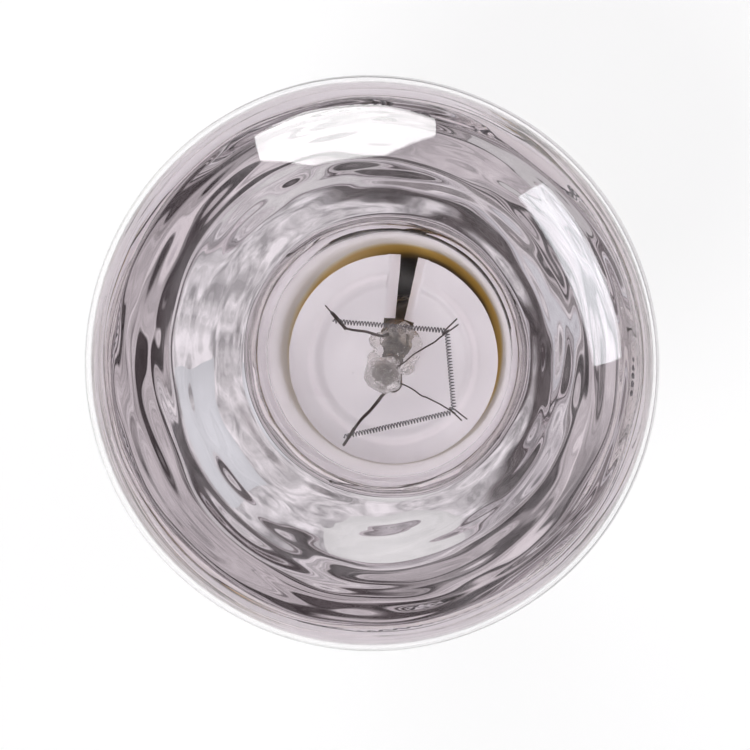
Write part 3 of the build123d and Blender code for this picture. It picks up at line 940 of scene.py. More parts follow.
@dataclass
class Mount:
    """The leaning glass stem with its wires and filament, and the place on its press where the shield sits."""

    neck_end_height: float = 27.5
    stem_lean: float = 1.8
    stem_height: float = 54.5
    arbor_lean: float = 5.1
    arbor_length: float = 21.5
    arbor_diameter: float = 4.0
    button_diameter: float = 8.8
    button_height: float = 6.0
    crown_place: tuple[float, float, float] = (1.4, 2.8, 2.0)
    crown_reach: tuple[float, float, float] = (6.0, 5.4, 2.6)
    crown_lumps: int = 13
    lump_radius: float = 1.9
    lump_spread: float = 0.5
    lump_turn: float = 2.4
    lump_rise: float = 0.9
    lump_fall: float = 0.6
    # How far the rod's foot spreads, and at what height above the plate
    rod_foot: tuple[tuple[float, float], ...] = ((1.6, -4.0), (1.3, -0.5), (0.3, 2.0), (0.0, 5.0))
    flare_diameter: float = 18.0
    flare_mouth_diameter: float = 22.0
    flare_mouth_height: float = 9.0
    flare_wall: float = 1.2
    press_width: float = 18.0
    press_thickness: float = 6.5
    press_height: float = 10.0
    press_taper_height: float = 8.0
    press_round: float = 2.0
    flare_hollow_rise: float = 3.0
    flare_levels: int = 60
    thinnest: float = 0.3
    exhaust_diameter: float = 5.0
    exhaust_drop: float = 9.0
    exhaust_tip: float = 1.0
    seal_radius: float = 12.9
    seal_flange_height: float = 2.0
    lead_spacing: float = 12.0
    inner_lead_diameter: float = 0.9
    inner_lead_sink: float = 4.0
    inner_lead_rise: float = 10.0
    inner_lead_bend: float = 2.5
    # Share of its thickness that each lead keeps at its clamp
    lead_shares: tuple[float, float] = (0.45, 0.75)
    lead_path_step: float = 0.4
    lead_tail_length: int = 5
    lead_tail_rise: float = 0.08
    lead_tail_radius: float = 0.16
    clamp_reach: float = 2.4
    wire_clearance: float = 0.08
    support_diameter: float = 0.44
    support_wire_diameter: float = 0.36
    support_sink: float = 1.6
    # Tails of each support, as reaches outward, sideways and up
    support_tail: tuple[float, float, float] = (4.0, 0.0, 0.5)
    spare_tail: tuple[float, float, float] = (3.2, -0.5, -0.2)
    spare_root: float = 0.4
    support_steps: int = 14
    hook_pitch: float = 0.7
    hook_clearance: float = 0.25
    hook_gap: float = 0.06
    hook_steps: int = 28
    coil_diameter: float = 1.3
    coil_wire_diameter: float = 0.26
    coil_pitch: float = 0.7
    coil_corner_radius: float = 0.9
    coil_turn: float = 4.4
    coil_overhang: float = 1.2
    coil_end: float = 0.3
    coil_steps: int = 16
    support_reach: float = 18.0
    support_half_angle: float = 31.5
    end_reach: float = 16.3
    end_half_angle: float = 124.5
    melt_voxel: float = 0.36
    melt_smoothing: int = 3
    glass_sides: int = 64
    rod_sides: int = 32
    bead_sides: int = 40
    bead_steps: int = 12
    lump_sides: int = 24
    lead_sides: int = 14
    support_sides: int = 10
    coil_sides: int = 8

    def __post_init__(self) -> None:
        """Place the stem's and the rod's own axes."""
        self.stem = self.leaning(Vector((0, 0, self.neck_end_height)), self.stem_lean)
        self.plate = self.stem @ Matrix.Translation((0, 0, self.stem_height))
        self.rod = self.leaning(self.plate.translation, self.stem_lean + self.arbor_lean)
        self.coil_radius = self.coil_diameter / 2
        self.coil_lift = self.coil_radius + self.support_diameter / 2 + self.hook_clearance
        self.coil_level = self.arbor_length + self.coil_lift
        turns = [
            (self.end_reach, self.end_half_angle),
            (self.support_reach, self.support_half_angle),
            (self.support_reach, -self.support_half_angle),
            (self.end_reach, -self.end_half_angle),
        ]
        self.corners = [self.corner(reach, angle) for reach, angle in turns]

    @staticmethod
    def leaning(origin: Vector, lean: float) -> Matrix:
        """Return axes at an origin that lean from +Z towards -Y by some degrees."""
        return Matrix.Translation(origin) @ Matrix.Rotation(radians(lean), 4, "X")

    def corner(self, reach: float, angle: float) -> Vector:
        """Return the point of the filament's plane at a reach and an angle from the rod."""
        turn = radians(self.coil_turn + angle)
        return Vector((reach * cos(turn), reach * sin(turn), self.coil_level))

    def build(self) -> None:
        """Make every piece of the mount and dress it."""
        self.build_stem()
        self.build_filament()
        self.build_supports()
        self.build_leads()

    def build_stem(self) -> None:
        """Melt the flare, press, exhaust tube, rod and button into one piece of glass."""
        body = self.flare().moved(self.stem)
        mouth = self.flare_mouth_diameter / 2 - self.flare_wall
        low, high = self.neck_end_height, self.neck_end_height + self.seal_flange_height
        flange = [(mouth, low), (self.seal_radius, low), (self.seal_radius, high), (mouth, high)]
        body.add(lathe(flange, self.glass_sides))
        press_low = self.stem_height - self.press_height
        exhaust = self.exhaust_diameter / 2
        tip = -self.exhaust_drop
        pipe = [(0, tip), (exhaust, tip + self.exhaust_tip), (exhaust, press_low), (0, press_low)]
        body.add(lathe(pipe, self.rod_sides, closed=False).moved(self.stem))
        rod = self.arbor_diameter / 2
        foot = [(0, self.rod_foot[0][1]), *[(rod + spread, height) for spread, height in self.rod_foot]]
        stalk = lathe([*foot, (rod, self.arbor_length), (0, self.arbor_length)], self.rod_sides, closed=False)
        body.add(stalk.moved(self.rod))
        body.add(self.crown())
        half, reach = self.button_height / 2, self.button_diameter / 2
        bead = [(reach * out, self.arbor_length + half * rise) for out, rise in half_round(self.bead_steps)]
        button = lathe(bead, self.bead_sides, closed=False).roughened(amount=0.9, grain=3.4, seed=7.0)
        body.add(button.moved(self.rod))
        set_down(self.melted(body), STEM_GLASS.material(), Slot.CLEAR_GLASS, "glass_stem")

    def crown(self) -> Shape:
        """Heap lumps of melted glass on top of the press."""
        ball = half_round(self.bead_steps)
        place = self.plate @ Matrix.Translation(self.crown_place) @ Matrix.Diagonal((*self.crown_reach, 1.0))
        heap = lathe(ball, self.glass_sides, closed=False).roughened(amount=0.3, grain=0.55, seed=3.0)
        heap = heap.moved(place)
        drop = lathe(ball, self.lump_sides, closed=False)
        for number in range(self.crown_lumps):
            turn, out = number * self.lump_turn, sqrt((number + 0.5) / self.crown_lumps)
            spot = Vector((cos(turn) * out, sin(turn) * out, self.lump_rise - self.lump_fall * out))
            size = self.lump_radius * (1 + self.lump_spread * noise.noise(spot * 3.0))
            lump = drop.roughened(amount=0.25, grain=0.8, seed=number)
            heap.add(lump.moved(Matrix.Translation(place @ spot) @ Matrix.Scale(size, 4)))
        return heap

    def flare(self) -> Shape:
        """Skin the flared tube that is pinched flat into the press."""
        press_low = self.stem_height - self.press_height
        taper_low = press_low - self.press_taper_height
        tube_radius = self.flare_diameter / 2
        mouth = self.flare_mouth_diameter / 2
        levels = [step * self.stem_height / self.flare_levels for step in range(2, self.flare_levels)]

        def ring(wide: float, deep: float, height: float) -> list[Vector]:
            """Return an oval ring at a height."""
            turns = [tau * step / self.glass_sides for step in range(self.glass_sides)]
            return [Vector((deep * cos(turn), wide * sin(turn), height)) for turn in turns]

        outer = []
        inner = []
        for height in levels:
            spread = 1 - smooth_step(0, self.flare_mouth_height, height)
            flared = tube_radius + (mouth - tube_radius) * spread
            pinch = smooth_step(taper_low, press_low, height)
            above = max(0.0, (height - self.stem_height + self.press_round) / self.press_round)
            shrink = self.press_round * (1 - sqrt(max(0.02, 1 - above**2)))
            deep = flared + (self.press_thickness / 2 - flared) * pinch
            wide = flared + (self.press_width / 2 - flared) * pinch
            outer.append(ring(wide - shrink, max(self.thinnest, deep - shrink), height))
            if height < taper_low + self.flare_hollow_rise:
                inner.append(ring(wide - self.flare_wall, max(self.thinnest, deep - self.flare_wall), height))
        return loft([*reversed(inner), *outer])

    def melted(self, shape: Shape) -> bpy.types.Mesh:
        """Fuse overlapping glass into one soft skin.

        Args:
            shape: The parts, each closed.

        Returns:
            The fused mesh.
        """
        rough = bpy.data.objects.new("melt", shape.mesh("melt"))
        bpy.context.scene.collection.objects.link(rough)
        fuse = rough.modifiers.new("fuse", "REMESH")
        fuse.mode = "VOXEL"
        fuse.voxel_size = self.melt_voxel * MM
        flow = rough.modifiers.new("flow", "SMOOTH")
        flow.factor = 0.5
        flow.iterations = self.melt_smoothing
        ready = rough.evaluated_get(bpy.context.evaluated_depsgraph_get())
        mesh = bpy.data.meshes.new_from_object(ready)
        mesh.name = "glass_stem"
        mesh.shade_smooth()
        bpy.data.objects.remove(rough)
        return mesh

    def build_filament(self) -> None:
        """Wind the filament's turns along its three sides."""
        first = (self.corners[0] - self.corners[1]).normalized()
        last = (self.corners[3] - self.corners[2]).normalized()
        ends = self.corners[0] + first * self.coil_overhang, self.corners[3] + last * self.coil_overhang
        spacing = self.coil_pitch / self.coil_steps
        line = bent([ends[0], *self.corners[1:3], ends[1]], [self.coil_corner_radius] * 2, spacing)
        reach = self.coil_radius - self.coil_wire_diameter / 2
        up = Vector((0, 0, 1))
        path = [ends[0] + first * self.coil_end]
        travelled = 0.0
        for before, after in zip(line, line[1:]):
            ahead = after - before
            side = up.cross(ahead).normalized()
            turn = tau * travelled / self.coil_pitch
            path.append(before + (up * cos(turn) + side * sin(turn)) * reach)
            travelled += ahead.length
        path.append(ends[1] + last * self.coil_end)
        coil = tube(path, self.coil_wire_diameter / 2, self.coil_sides).moved(self.rod)
        set_down(coil.mesh("filament"), TUNGSTEN.material(), Slot.FILAMENT_WIRE, "filament")

    def build_supports(self) -> None:
        """Bend each support from the button once round the filament's corner to a pair of short tails."""
        radius = self.support_wire_diameter / 2
        up = Vector((0, 0, 1))
        for number in (1, 2):
            here = self.corners[number]
            to_last = (self.corners[number - 1] - here).normalized()
            to_next = (self.corners[number + 1] - here).normalized()
            outward = -(to_last + to_next).normalized()
            cut = self.coil_corner_radius * (1 / sin(to_last.angle(to_next) / 2) - 1)
            apex = here - outward * cut
            axes = Matrix((outward, up.cross(outward), up)).transposed()
            reach = self.coil_radius + radius + self.hook_gap
            root = Vector((apex.x, apex.y)).normalized() * (self.button_diameter / 2 - self.support_sink)
            loop = []
            for step in range(self.hook_steps + 1):
                share = step / self.hook_steps
                turn, drift = tau * share, self.hook_pitch * (share - 0.5)
                loop.append(apex + axes @ Vector((sin(turn) * reach, drift, -cos(turn) * reach)))
            start = Vector((root.x, root.y, self.arbor_length))
            run = [start.lerp(loop[0], step / self.support_steps) for step in range(self.support_steps + 1)]
            run = crooked(run, amount=0.7, grain=3.0, seed=5.0 * number)
            tip = loop[-1] + axes @ Vector(self.support_tail)
            wire = tube([*run, *loop[1:], tip], radius, self.support_sides)
            spare = loop[0] + axes @ Vector(self.spare_tail)
            tail = [loop[0] - outward * self.spare_root, loop[0], loop[0].lerp(spare, 0.5), spare]
            wire.add(tube(tail, radius, self.support_sides))
            name = f"filament_support_{number}"
            set_down(wire.moved(self.rod).mesh(name), MOUNT_WIRE.material(), Slot.SUPPORT_WIRE, name)

    def build_leads(self) -> None:
        """Bend each stiff lead from the press up to its end of the filament, where it folds over the coil."""
        lift = self.coil_radius + self.inner_lead_diameter / 2 + self.wire_clearance
        fold = lift - self.wire_clearance
        for number, sign, share in zip((1, 2), (1, -1), self.lead_shares):
            place = self.rod @ Matrix.Rotation(radians(self.coil_turn + self.end_half_angle * sign), 4, "Z")
            foot = [
                self.stem @ Vector((0, self.lead_spacing / 2 * sign, self.stem_height - self.inner_lead_sink)),
                self.stem @ Vector((0, self.lead_spacing / 2 * sign, self.stem_height + self.inner_lead_rise)),
            ]
            near, far = self.end_reach - self.clamp_reach, self.end_reach + self.clamp_reach
            low, high = self.coil_level - lift * share, self.coil_level + lift * share
            clamp = [(near, 0, low), (far, 0, low), (far, 0, high), (near, 0, high)]
            points = [*foot, *[place @ Vector(point) for point in clamp]]
            bends = [self.inner_lead_bend, self.inner_lead_bend / 2, fold * share, fold * share]
            path = crooked(bent(points, bends, self.lead_path_step), amount=0.5, grain=6.0, seed=2.0 * number)
            wire = tube(path, self.inner_lead_diameter / 2, self.lead_sides, share)
            if number == 1:
                way = Vector((1.0, 0.0, self.lead_tail_rise))
                clamp = Vector((self.end_reach, 0.0, self.coil_level))
                tail = [place @ (clamp + way * step) for step in range(self.lead_tail_length + 1)]
                wire.add(tube(tail, self.lead_tail_radius, self.support_sides))
            name = f"inner_lead_{number}"
            set_down(wire.mesh(name), MOUNT_WIRE.material(), Slot.SUPPORT_WIRE, name)


@dataclass
class HeatShield:
    """The stamped plate on top of the press: raised ring, slot and two folded flaps."""

    gauge: float = 0.4
    hole_length: float = 16.0
    hole_width: float = 4.4
    bead_diameter: float = 37.8
    bead_width: float = 4.2
    bead_height: float = 0.9
    slot_angle: float = 81.0
    slot_start: float = 7.0
    slot_inner_width: float = 7.0
    slot_outer_width: float = 9.4
    slot_corner_share: float = 1 / 12
    flap_straight: float = 2.72
    flap_fold: float = 48.0
    flap_start: float = 9.6
    flap_bend: float = 0.8
    flap_root: float = 0.4
    flap_end_gap: float = 0.3
    flap_wave: float = 0.12
    flap_bend_steps: int = 8
    flap_straight_steps: int = 6
    flap_stations: int = 40
    dent_depth: float = 0.06
    dent_size: float = 6.0
    edge_width: float = 0.1
    edge_segments: int = 2
    columns: int = 240
    rows: int = 64

    def __post_init__(self) -> None:
        """Read the plate's radius from the CAD shield."""
        low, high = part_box("heat_shield")
        self.radius = (high[0] - low[0]) / 2 / MM

    def relief(self, radius: float) -> float:
        """Return how far the raised ring stands above the plate at a radius."""
        across = (radius - self.bead_diameter / 2) / (self.bead_width / 2)
        return self.bead_height * 0.5 * (1 + cos(pi * across)) if abs(across) < 1 else 0.0

    def hole_edge(self, angle: float) -> float:
        """Return the distance to the edge of the hole for the press at an angle from the slot."""
        turn = angle + radians(self.slot_angle)
        straight = (self.hole_length - self.hole_width) / 2
        end = self.hole_width / 2
        side, along = abs(cos(turn)), abs(sin(turn))
        if side * straight >= along * end:
            return end / side
        return straight * along + sqrt(end**2 - (straight * side) ** 2)

    def build(self, place: Matrix) -> None:
        """Make the plate and its flaps and dress them.

        Args:
            place: Axes of the top of the press.
        """
        plate = self.plate()
        for side in (1, -1):
            plate.add(self.flap(side))
        turn = Matrix.Rotation(radians(self.slot_angle), 4, "Z")
        mesh = plate.moved(place @ turn).mesh("heat_shield", SHEET_CREASE)
        piece = set_down(mesh, SHEET.material(), Slot.BRIGHT_SHEET, "heat_shield")
        edge = piece.modifiers.new("edge", "BEVEL")
        edge.width = self.edge_width * MM
        edge.segments = self.edge_segments
        edge.limit_method = "ANGLE"
        edge.angle_limit = radians(SHEET_CREASE)

    def plate(self) -> Shape:
        """Skin the plate from its hole to its rim, round from one edge of the slot to the other."""
        inner_edge = atan2(self.slot_inner_width / 2, self.slot_start)
        outer_edge = asin(self.slot_outer_width / 2 / self.radius)
        corner = hypot(self.slot_start, self.slot_inner_width / 2)
        shape = Shape()
        for column in range(self.columns + 1):
            share = column / self.columns
            inner_turn = inner_edge + (tau - 2 * inner_edge) * share
            outer_turn = outer_edge + (tau - 2 * outer_edge) * share
            near = min(share, 1 - share) / self.slot_corner_share
            hole = self.hole_edge(inner_turn)
            hole += (corner - hole) * max(0.0, 1 - near)
            start = Vector((cos(inner_turn), sin(inner_turn))) * hole
            end = Vector((cos(outer_turn), sin(outer_turn))) * self.radius
            for row in range(self.rows + 1):
                point = start.lerp(end, row / self.rows)
                height = self.relief(point.length)
                height += self.dent_depth * noise.noise(Vector((point.x, point.y, 3.0)) / self.dent_size)
                shape.verts.append(Vector((point.x, point.y, height + self.gauge)))
        count = len(shape.verts)
        shape.verts.extend(vert - Vector((0, 0, self.gauge)) for vert in list(shape.verts))
        wide = self.rows + 1
        for column in range(self.columns):
            for row in range(self.rows):
                first = column * wide + row
                quad = (first, first + 1, first + wide + 1, first + wide)
                shape.faces.append(quad)
                shape.faces.append(tuple(count + index for index in reversed(quad)))
        slot_edge = list(range(wide))
        far_edge = [self.columns * wide + row for row in range(wide)]
        hole_edge = [column * wide for column in range(self.columns + 1)]
        rim = [column * wide + self.rows for column in range(self.columns + 1)]
        for border in (slot_edge, far_edge, hole_edge, rim):
            for one, two in zip(border, border[1:]):
                shape.faces.append((one, two, count + two, count + one))
        return shape

    def flap(self, side: int) -> Shape:
        """Fold one flap down along an edge of the slot.

        Args:
            side: 1 or -1, for the slot's two edges.

        Returns:
            The flap, in the slot's own axes.
        """
        start = Vector((self.slot_start, side * self.slot_inner_width / 2, self.gauge / 2))
        end = Vector((self.radius, side * self.slot_outer_width / 2, self.gauge / 2))
        along = (end - start).normalized()
        inward = along.cross(Vector((0, 0, 1))) * side
        down = Vector((0, 0, -1))
        fold = radians(self.flap_fold)
        profile = [Vector((-self.flap_root, 0.0)), Vector((0.0, 0.0))]
        for step in range(1, self.flap_bend_steps + 1):
            turn = fold * step / self.flap_bend_steps
            profile.append(Vector((self.flap_bend * sin(turn), self.flap_bend * (1 - cos(turn)))))
        straight = Vector((cos(fold), sin(fold))) * self.flap_straight / self.flap_straight_steps
        bend_end = profile[-1]
        profile.extend(bend_end + straight * step for step in range(1, self.flap_straight_steps + 1))
        rings = []
        first = self.flap_start - self.slot_start
        length = (end - start).length - self.flap_end_gap
        for step in range(self.flap_stations + 1):
            reach = first + (length - first) * step / self.flap_stations
            base = start + along * reach
            upper = []
            lower = []
            for index, point in enumerate(profile):
                before = profile[max(index - 1, 0)]
                after = profile[min(index + 1, len(profile) - 1)]
                tangent = (after - before).normalized()
                normal = Vector((tangent.y, -tangent.x))
                wave = self.flap_wave * noise.noise(Vector((reach / 3, side * 5.0, index / 6)))
                for line, sign in ((upper, 1), (lower, -1)):
                    spot = point + normal * (self.gauge / 2 * sign + wave)
                    line.append(base + inward * spot.x + down * spot.y)
            rings.append([*upper, *reversed(lower)])
        return loft(rings)


# Screw cap


@dataclass
class ScrewCap:
    """The rolled screw shell with its end glass, contact, solder and cement."""

    crest_diameter: float = 26.2
    root_diameter: float = 24.1
    pitch: float = 3.63
    ridge_power: float = 0.85
    runout: float = 1.4
    bottom: float = 6.0
    lead_in: float = 2.6
    bore_diameter: float = 22.8
    thread_top: float = 22.4
    collar_land: float = 1.0
    collar_rise: float = 0.15
    skirt_start: float = 26.0
    top: float = 33.0
    skirt_diameter: float = 30.0
    gauge: float = 0.4
    neck_radius: float = 14.1
    cement_low: float = 27.5
    contact_diameter: float = 10.0
    contact_hole_diameter: float = 0.6
    contact_low: float = 0.6
    contact_high: float = 1.4
    solder_diameter: float = 6.0
    solder_flat_diameter: float = 4.0
    solder_lift: float = 0.03
    solder_steps: int = 8
    rim_solder_size: tuple[float, float, float] = (1.35, 0.75, 1.0)
    rim_solder_sink: float = 0.05
    rim_solder_drop: float = 0.35
    insulator_step: float = 0.9
    insulator_top: float = 9.0
    wire_hole_diameter: float = 2.4
    segments: int = 144
    rows: int = 150

    def build(self) -> None:
        """Make every piece of the cap and dress it."""
        self.build_shell()
        self.build_end()
        self.build_joint()

    def surface(self, angle: float, height: float) -> float:
        """Return the outer radius of the shell at an angle and a height."""
        root, crest = self.root_diameter / 2, self.crest_diameter / 2
        phase = (height - self.bottom) / self.pitch - angle / tau
        ridge = 0.5 + 0.5 * cos(tau * phase)
        thread = root + (crest - root) * ridge**self.ridge_power
        collar = crest + self.collar_rise
        thread += (collar - thread) * smooth_step(self.thread_top - self.runout, self.thread_top, height)
        lip = self.bore_diameter / 2 + self.gauge
        rise = min(max((height - self.bottom) / self.lead_in, 0.0), 1.0)
        entry = lip + (collar - lip) * sqrt(1 - (1 - rise) ** 2)
        flare = smooth_step(self.thread_top + self.collar_land, self.skirt_start, height)
        skirt = (self.skirt_diameter / 2 - collar) * flare
        return min(thread, entry) + skirt

    def build_shell(self) -> None:
        """Roll the shell's sheet into its thread, collar and skirt."""
        levels = [self.bottom + (self.top - self.bottom) * row / self.rows for row in range(self.rows + 1)]
        turns = [tau * step / self.segments for step in range(self.segments)]

        def ring(height: float, inset: float) -> list[Vector]:
            """Return the shell's ring at a height, moved inward."""
            reach = [self.surface(turn, height) - inset for turn in turns]
            return [Vector((r * cos(turn), r * sin(turn), height)) for r, turn in zip(reach, turns)]

        rings = [ring(height, 0.0) for height in levels]
        rings.append(ring(self.top, self.gauge / 2))
        rings.extend(ring(height, self.gauge) for height in reversed(levels))
        shape = loft(rings, capped=False)
        count = self.segments
        last = (len(rings) - 1) * count
        for step in range(count):
            after = (step + 1) % count
            shape.faces.append((last + step, last + after, after, step))
        set_down(shape.mesh("screw_shell", SHEET_CREASE), BRASS.material(), Slot.CAP_BRASS, "screw_shell")

    def build_end(self) -> None:
        """Make the end glass, the contact and its solder."""
        hole = self.wire_hole_diameter / 2
        low = self.contact_diameter / 2 + self.insulator_step
        bore = self.bore_diameter / 2
        glass = rounded(
            [
                (hole, self.contact_high),
                (low, self.contact_high),
                (low + self.insulator_step, self.contact_high + self.insulator_step),
                (bore, self.bottom),
                (bore, self.insulator_top),
                (hole, self.insulator_top),
            ],
            radii=[0.2, 0.5, 1.2, 0.5, 0.4, 0.2],
        )
        uneven_glass = lathe(glass, segments=120).roughened(amount=0.05, grain=4.0, seed=2.0)
        mesh = uneven_glass.mesh("insulator", CREASE)
        set_down(mesh, BLACK_GLASS.material(), Slot.BLACK_GLASS, "insulator")
        rim = self.contact_diameter / 2
        bore, low, high = self.contact_hole_diameter / 2, self.contact_low, self.contact_high
        plate = rounded([(bore, low), (rim, low), (rim, high), (bore, high)], radii=[0.05, 0.3, 0.15, 0.05])
        mesh = lathe(plate, segments=96).mesh("centre_contact", CREASE)
        set_down(mesh, BRASS.material(), Slot.CAP_BRASS, "centre_contact")
        flat, wide = self.solder_flat_diameter / 2, self.solder_diameter / 2
        quarter = [pi / 2 * step / self.solder_steps for step in range(self.solder_steps + 1)]
        drop = [(0.0, 0.0), (flat * 0.5, 0.0), (flat * 0.8, self.solder_lift * 2 / 3)]
        drop += [(flat + (wide - flat) * sin(turn), self.contact_low * (1 - cos(turn)) + self.solder_lift)
                 for turn in quarter]
        drop += [(0.0, self.contact_low + self.solder_lift)]

        def uneven(angle: float, height: float) -> float:
            """Return how far the drop's edge strays from round."""
            return 0.25 * height / self.contact_low * sin(2 * angle + 0.6) + 0.12 * height * sin(5 * angle)

        mesh = lathe(drop, segments=72, closed=False, wander=uneven).mesh("centre_solder", CREASE)
        set_down(mesh, SOLDER.material(), Slot.SOLDER, "centre_solder")

    def build_joint(self) -> None:
        """Make the cement between neck and skirt and the solder on the skirt's edge."""
        inner, outer = self.neck_radius, self.skirt_diameter / 2 - self.gauge
        mid = (inner + outer) / 2
        swollen = [
            (inner, self.cement_low),
            (outer, self.cement_low),
            (outer, self.top - 0.1),
            (mid + 0.1, self.top + 0.18),
            (inner + 0.1, self.top + 0.3),
            (inner, self.top + 0.3),
        ]
        ring = lathe(swollen, segments=160).roughened(amount=0.08, grain=0.9, seed=4.0)
        set_down(ring.mesh("cap_cement", CEMENT_CREASE), CEMENT.material(), Slot.CEMENT, "cap_cement")
        ball = lathe(half_round(14), segments=28, closed=False).roughened(amount=0.3, grain=1.1, seed=5.0)
        squash = Matrix.Diagonal((*self.rim_solder_size, 1.0))
        edge = self.skirt_diameter / 2 - self.rim_solder_sink, self.top - self.rim_solder_drop
        drop = ball.moved(Matrix.Translation((0, *edge)) @ squash)
        set_down(drop.mesh("rim_solder"), SOLDER.material(), Slot.SOLDER, "rim_solder")


# Studio


@dataclass
class Softbox:
    """A lit panel that faces the lamp, with a level of its own for each way that it is seen."""

    name: str
    azimuth: float
    elevation: float
    distance: float
    width: float
    height: float
    sides: int
    light: float
    glare: float
    mirrored: float = 0.85
    colour: Colour = (1.0, 1.0, 1.0)
    mirror_depth: float = 4.5
    middle_level: float = 1.06
    edge_level: float = 0.8
    edge_reach: float = 1.4

    def build(self, target: Vector) -> None:
        """Set the panel up, facing a target.

        Args:
            target: The point that it faces, in metres.
        """
        turn, rise = radians(self.azimuth), radians(self.elevation)
        away = Vector((cos(rise) * cos(turn), cos(rise) * sin(turn), sin(rise)))
        right = Vector((-sin(turn), cos(turn), 0))
        up = away.cross(right)
        half_side = pi / self.sides
        reach = 0.5 / cos(half_side)
        angles = [tau * step / self.sides + half_side for step in range(self.sides)]
        verts = [(right * cos(angle) * self.width + up * sin(angle) * self.height) * reach for angle in angles]
        mesh = bpy.data.meshes.new(self.name)
        verts = [target + away * self.distance + vert for vert in verts]
        mesh.from_pydata(verts, [], [tuple(range(self.sides))])
        material = bpy.data.materials.new(self.name)
        material.use_nodes = True
        graph = Graph(material.node_tree)
        rays = graph.node("LightPath")
        direct = graph.math("LESS_THAN", rays.outputs["Ray Depth"], self.mirror_depth)
        image = graph.put(graph.node("MapRange"), Value=direct, To_Min=self.mirrored, To_Max=self.glare)
        seen = graph.math("MAXIMUM", rays.outputs["Is Glossy Ray"], rays.outputs["Is Transmission Ray"])
        level = graph.put(graph.node("MapRange"), Value=seen, To_Min=self.light, To_Max=image.outputs[0])
        place = graph.node("TexCoord")
        middle = graph.put(graph.node("Mapping"), Location=(-1.0, -1.0, -1.0), Scale=(2.0, 2.0, 2.0))
        graph.link(place.outputs["Generated"], middle.inputs["Vector"])
        edge = graph.vector("LENGTH", middle.outputs[0])
        falloff = graph.put(graph.node("MapRange"), Value=edge.outputs["Value"], From_Max=self.edge_reach,
                            To_Min=self.middle_level, To_Max=self.edge_level)
        lit = graph.math("MULTIPLY", level.outputs[0], falloff.outputs[0])
        glow = graph.put(graph.node("Emission"), Color=(*self.colour, 1.0), Strength=lit)
        graph.link(glow.outputs[0], graph.node("OutputMaterial").inputs["Surface"])
        mesh.materials.append(material)
        panel = bpy.data.objects.new(self.name, mesh)
        bpy.context.scene.collection.objects.link(panel)
        panel.visible_camera = False


@dataclass
class Band:
    """A soft-edged stretch of the room's wall with its own brightness."""

    azimuth: float
    half_width: float
    low: float
    high: float
    colour: Colour
    softness: float = 3.0

    def mix(self, graph: Graph, way: bpy.types.NodeSocket, under: bpy.types.NodeSocket) -> bpy.types.NodeSocket:
        """Lay the band over a colour.

        Args:
            graph: The world's graph.
            way: Direction that is looked in.
            under: Colour without the band.

        Returns:
            The colour with the band.
        """
        turn = radians(self.azimuth)
        flat = graph.vector("MULTIPLY", way, (1.0, 1.0, 0.0))
        level = graph.vector("NORMALIZE", flat.outputs[0])
        facing = graph.vector("DOT_PRODUCT", level.outputs[0], (cos(turn), sin(turn), 0.0))
        height = graph.put(graph.node("SeparateXYZ"), Vector=way)
        soft, side = radians(self.softness), radians(2 * self.softness)
        width, low, high = radians(self.half_width), radians(self.low), radians(self.high)
        edges = [
            (facing.outputs["Value"], cos(width + side), cos(width - side)),
            (height.outputs["Z"], sin(low - soft), sin(low + soft)),
            (height.outputs["Z"], sin(high + soft), sin(high - soft)),
        ]
        shares = []
        for value, outside, inside in edges:
            edge = graph.node("MapRange", interpolation_type="SMOOTHSTEP")
            graph.put(edge, Value=value, From_Min=outside, From_Max=inside)
            shares.append(edge.outputs[0])
        share = graph.math("MULTIPLY", graph.math("MULTIPLY", *shares[:2]), shares[2])
        return graph.blend(share, under, (*self.colour, 1.0))


